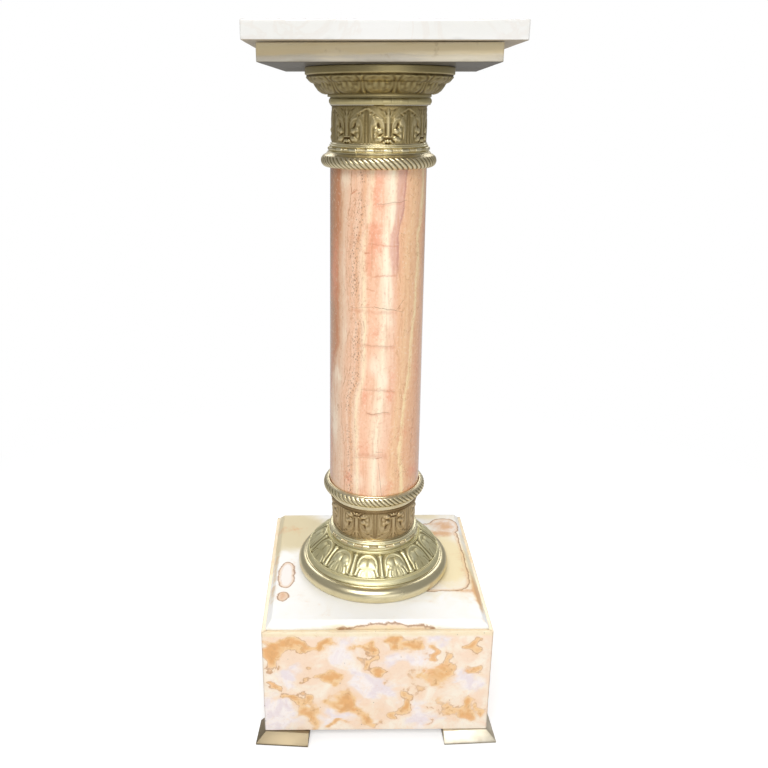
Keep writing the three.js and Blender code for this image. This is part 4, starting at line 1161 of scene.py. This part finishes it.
# A plate: its section, [depth from the face, height], carried from one mitred end to the other, so
# that a point runs along by its share * (half side - gap * sqrt(2) - depth)
def plateShell(degrees, caramel, milky):
    s = plate
    foot, top = heightOf("plinth_front_plate"), heightOf("plinth_front_plate", True)
    a, thick = s["arris"], s["thickness"]
    section = np.vstack([line((0, foot + a), (0, top - a), s["rows"]),
                         arc((a, top - a), a, 180, 90, 4)[1:], line((2.5, top), (thick - a, top), 5),
                         arc((thick - a, top - a), a, 90, 0, 3)[1:],
                         line((thick, top - 3), (thick, foot + a), 4),
                         line((thick - a, foot), (a, foot), 4), arc((a, foot + a), a, 270, 190, 3)])
    depth, height = section.T
    even = np.linspace(-1, 1, s["columns"])
    share = np.sin(even * math.pi / 2) * 0.15 + even * 0.85
    along = share[:, None] * (s["half"] - s["gap"] * math.sqrt(2) - depth)
    # the upright arris at a mitre is rubbed as well
    ease = np.zeros((s["columns"], 1))
    ease[[0, -1]] = s["rubbed"]
    ease = ease * (depth < 1)
    deep = depth + ease
    along = along - np.sign(along) * ease
    c, t = math.cos(math.radians(degrees)), math.sin(math.radians(degrees))
    out = -(s["half"] - deep)
    points = np.stack([c * along - t * out, t * along + c * out, np.broadcast_to(height, along.shape)], -1)
    across, up = stirred(along + deep * 0.4, np.broadcast_to(height - foot, along.shape))
    return shell(points, False, (True, True), caramel=patchSum(across, up, caramel),
                 milky=patchSum(across, up, milky))


chance = np.random.default_rng(plate["seed"])
for side, degrees in plate["turns"].items():
    patches = [plate["caramel"], plate["milky"]]
    if side != "front":
        patches = [looseCopy(rows, chance) for rows in patches]
    makePiece(f"plinth_{side}_plate", "onyx", "caramel_onyx", "plateOnyx", plateShell(degrees, *patches))
for corner in ("front_left", "front_right", "back_left", "back_right"):
    makeFoot(f"foot_{corner}")
print("plates and feet made")


# Camera, floor and light:
# An object's matrix from its three axes and its place
def matrixOf(*columns):
    rows = np.eye(4)
    rows[:3] = np.stack(columns, 1)
    return Matrix(rows.tolist())


camera = dict(yaw=-0.0135, pitch=0.3421, roll=0.002, place=(-0.0558, -1.1181, 0.9107),
              focalPixels=786.08, centrePixel=348.40, image=768)
yaw, pitch, roll = camera["yaw"], camera["pitch"], camera["roll"]
right = np.array([math.cos(yaw), math.sin(yaw), 0])
ahead = np.array([-math.sin(yaw) * math.cos(pitch), math.cos(yaw) * math.cos(pitch), -math.sin(pitch)])
over = np.cross(right, ahead)
rightRolled = right * math.cos(roll) + over * math.sin(roll)
overRolled = over * math.cos(roll) - right * math.sin(roll)
cameraData = bpy.data.cameras.new("photo_camera")
cameraData.sensor_width = 36
cameraData.lens = camera["focalPixels"] / camera["image"] * cameraData.sensor_width
cameraData.shift_x = (camera["image"] / 2 - camera["centrePixel"]) / camera["image"]
cameraObject = bpy.data.objects.new("photo_camera", cameraData)
bpy.context.collection.objects.link(cameraObject)
cameraObject.matrix_world = matrixOf(rightRolled, overRolled, -ahead, camera["place"])
bpy.context.scene.camera = cameraObject

floorHalf = 6.0
floorMesh = bpy.data.meshes.new("studio_floor")
floorMesh.from_pydata([(x * floorHalf, y * floorHalf, 0) for x, y in ((-1, -1), (1, -1), (1, 1), (-1, 1))],
                      [], [(0, 1, 2, 3)])
floor = bpy.data.objects.new("studio_floor", floorMesh)
bpy.context.collection.objects.link(floor)
floor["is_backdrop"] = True

# Floor: pale and matt round the stand; further off the camera sees plain white
floorPaint = Paint("floor_white", {"Base Color": (0.72, 0.72, 0.72, 1), "Roughness": 0.9})
seen = floorPaint.add("ShaderNodeLightPath", output="Is Camera Ray")
away = ((floorPaint.x ** 2 + floorPaint.y ** 2) ** 0.5).step(0.45, 1.3)
white = floorPaint.add("ShaderNodeEmission", {}, {"Strength": 1.0})
glow = floorPaint.add("ShaderNodeEmission", {}, {"Strength": 0.42})
lit = floorPaint.add("ShaderNodeAddShader", {}, (
    Value(floorPaint, floorPaint.shader.outputs[0]),
    floorPaint.add("ShaderNodeMixShader", {}, {0: seen, 2: glow})))
floorPaint.feed(floorPaint.out.inputs["Surface"],
                floorPaint.add("ShaderNodeMixShader", {}, {0: seen * away, 1: lit, 2: white}))
floorMesh.materials.append(floorPaint.material)

# World: a weak even light on the stand, weaker still in its reflections, and white for the camera
worldLight = dict(fill=0.46, metal=0.34, backdrop=1.0)
world = bpy.data.worlds.new("studio_world")
bpy.context.scene.world = world
world.use_nodes = True
sky = Nodes(world.node_tree)
light = {kind: sky.add("ShaderNodeBackground", {}, {"Color": (1, 1, 1, 1), "Strength": strength})
         for kind, strength in worldLight.items()}
for ray, kind in (("Is Glossy Ray", "metal"), ("Is Camera Ray", "backdrop")):
    light["fill"] = sky.add("ShaderNodeMixShader", {}, (sky.add("ShaderNodeLightPath", output=ray),
                                                        light["fill"], light[kind]))
sky.add("ShaderNodeOutputWorld", {}, {"Surface": light["fill"]})


# Lamps: soft rectangles turned to their targets, in metres and watts
lamps = {"key_lamp": dict(place=(-0.45, -2.5, 3.2), target=(0, 0, 0.45), size=(2.4, 1.6), watts=86),
         "front_lamp": dict(place=(0.6, -2.3, 0.6), target=(0, 0, 0.3), size=(1.8, 0.9), watts=6),
         "back_lamp": dict(place=(0.1, 2.2, 2.4), target=(0, 0, 0.3), size=(3.0, 1.4), watts=33)}
for name, sizes in lamps.items():
    lampData = bpy.data.lights.new(name, "AREA")
    lampData.shape, lampData.energy = "RECTANGLE", sizes["watts"]
    lampData.size, lampData.size_y = sizes["size"]
    lamp = bpy.data.objects.new(name, lampData)
    bpy.context.collection.objects.link(lamp)
    backward = np.subtract(sizes["place"], sizes["target"])
    backward /= np.linalg.norm(backward)
    sideways = np.cross((0, 0, 1), backward)
    sideways /= np.linalg.norm(sideways)
    lamp.matrix_world = matrixOf(sideways, np.cross(backward, sideways), backward, sizes["place"])

bpy.context.scene.view_settings.view_transform = "Standard"
sizes = {"cad": cadBox, "visual": [list(corner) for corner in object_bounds()]}
print("sizes", sizes)
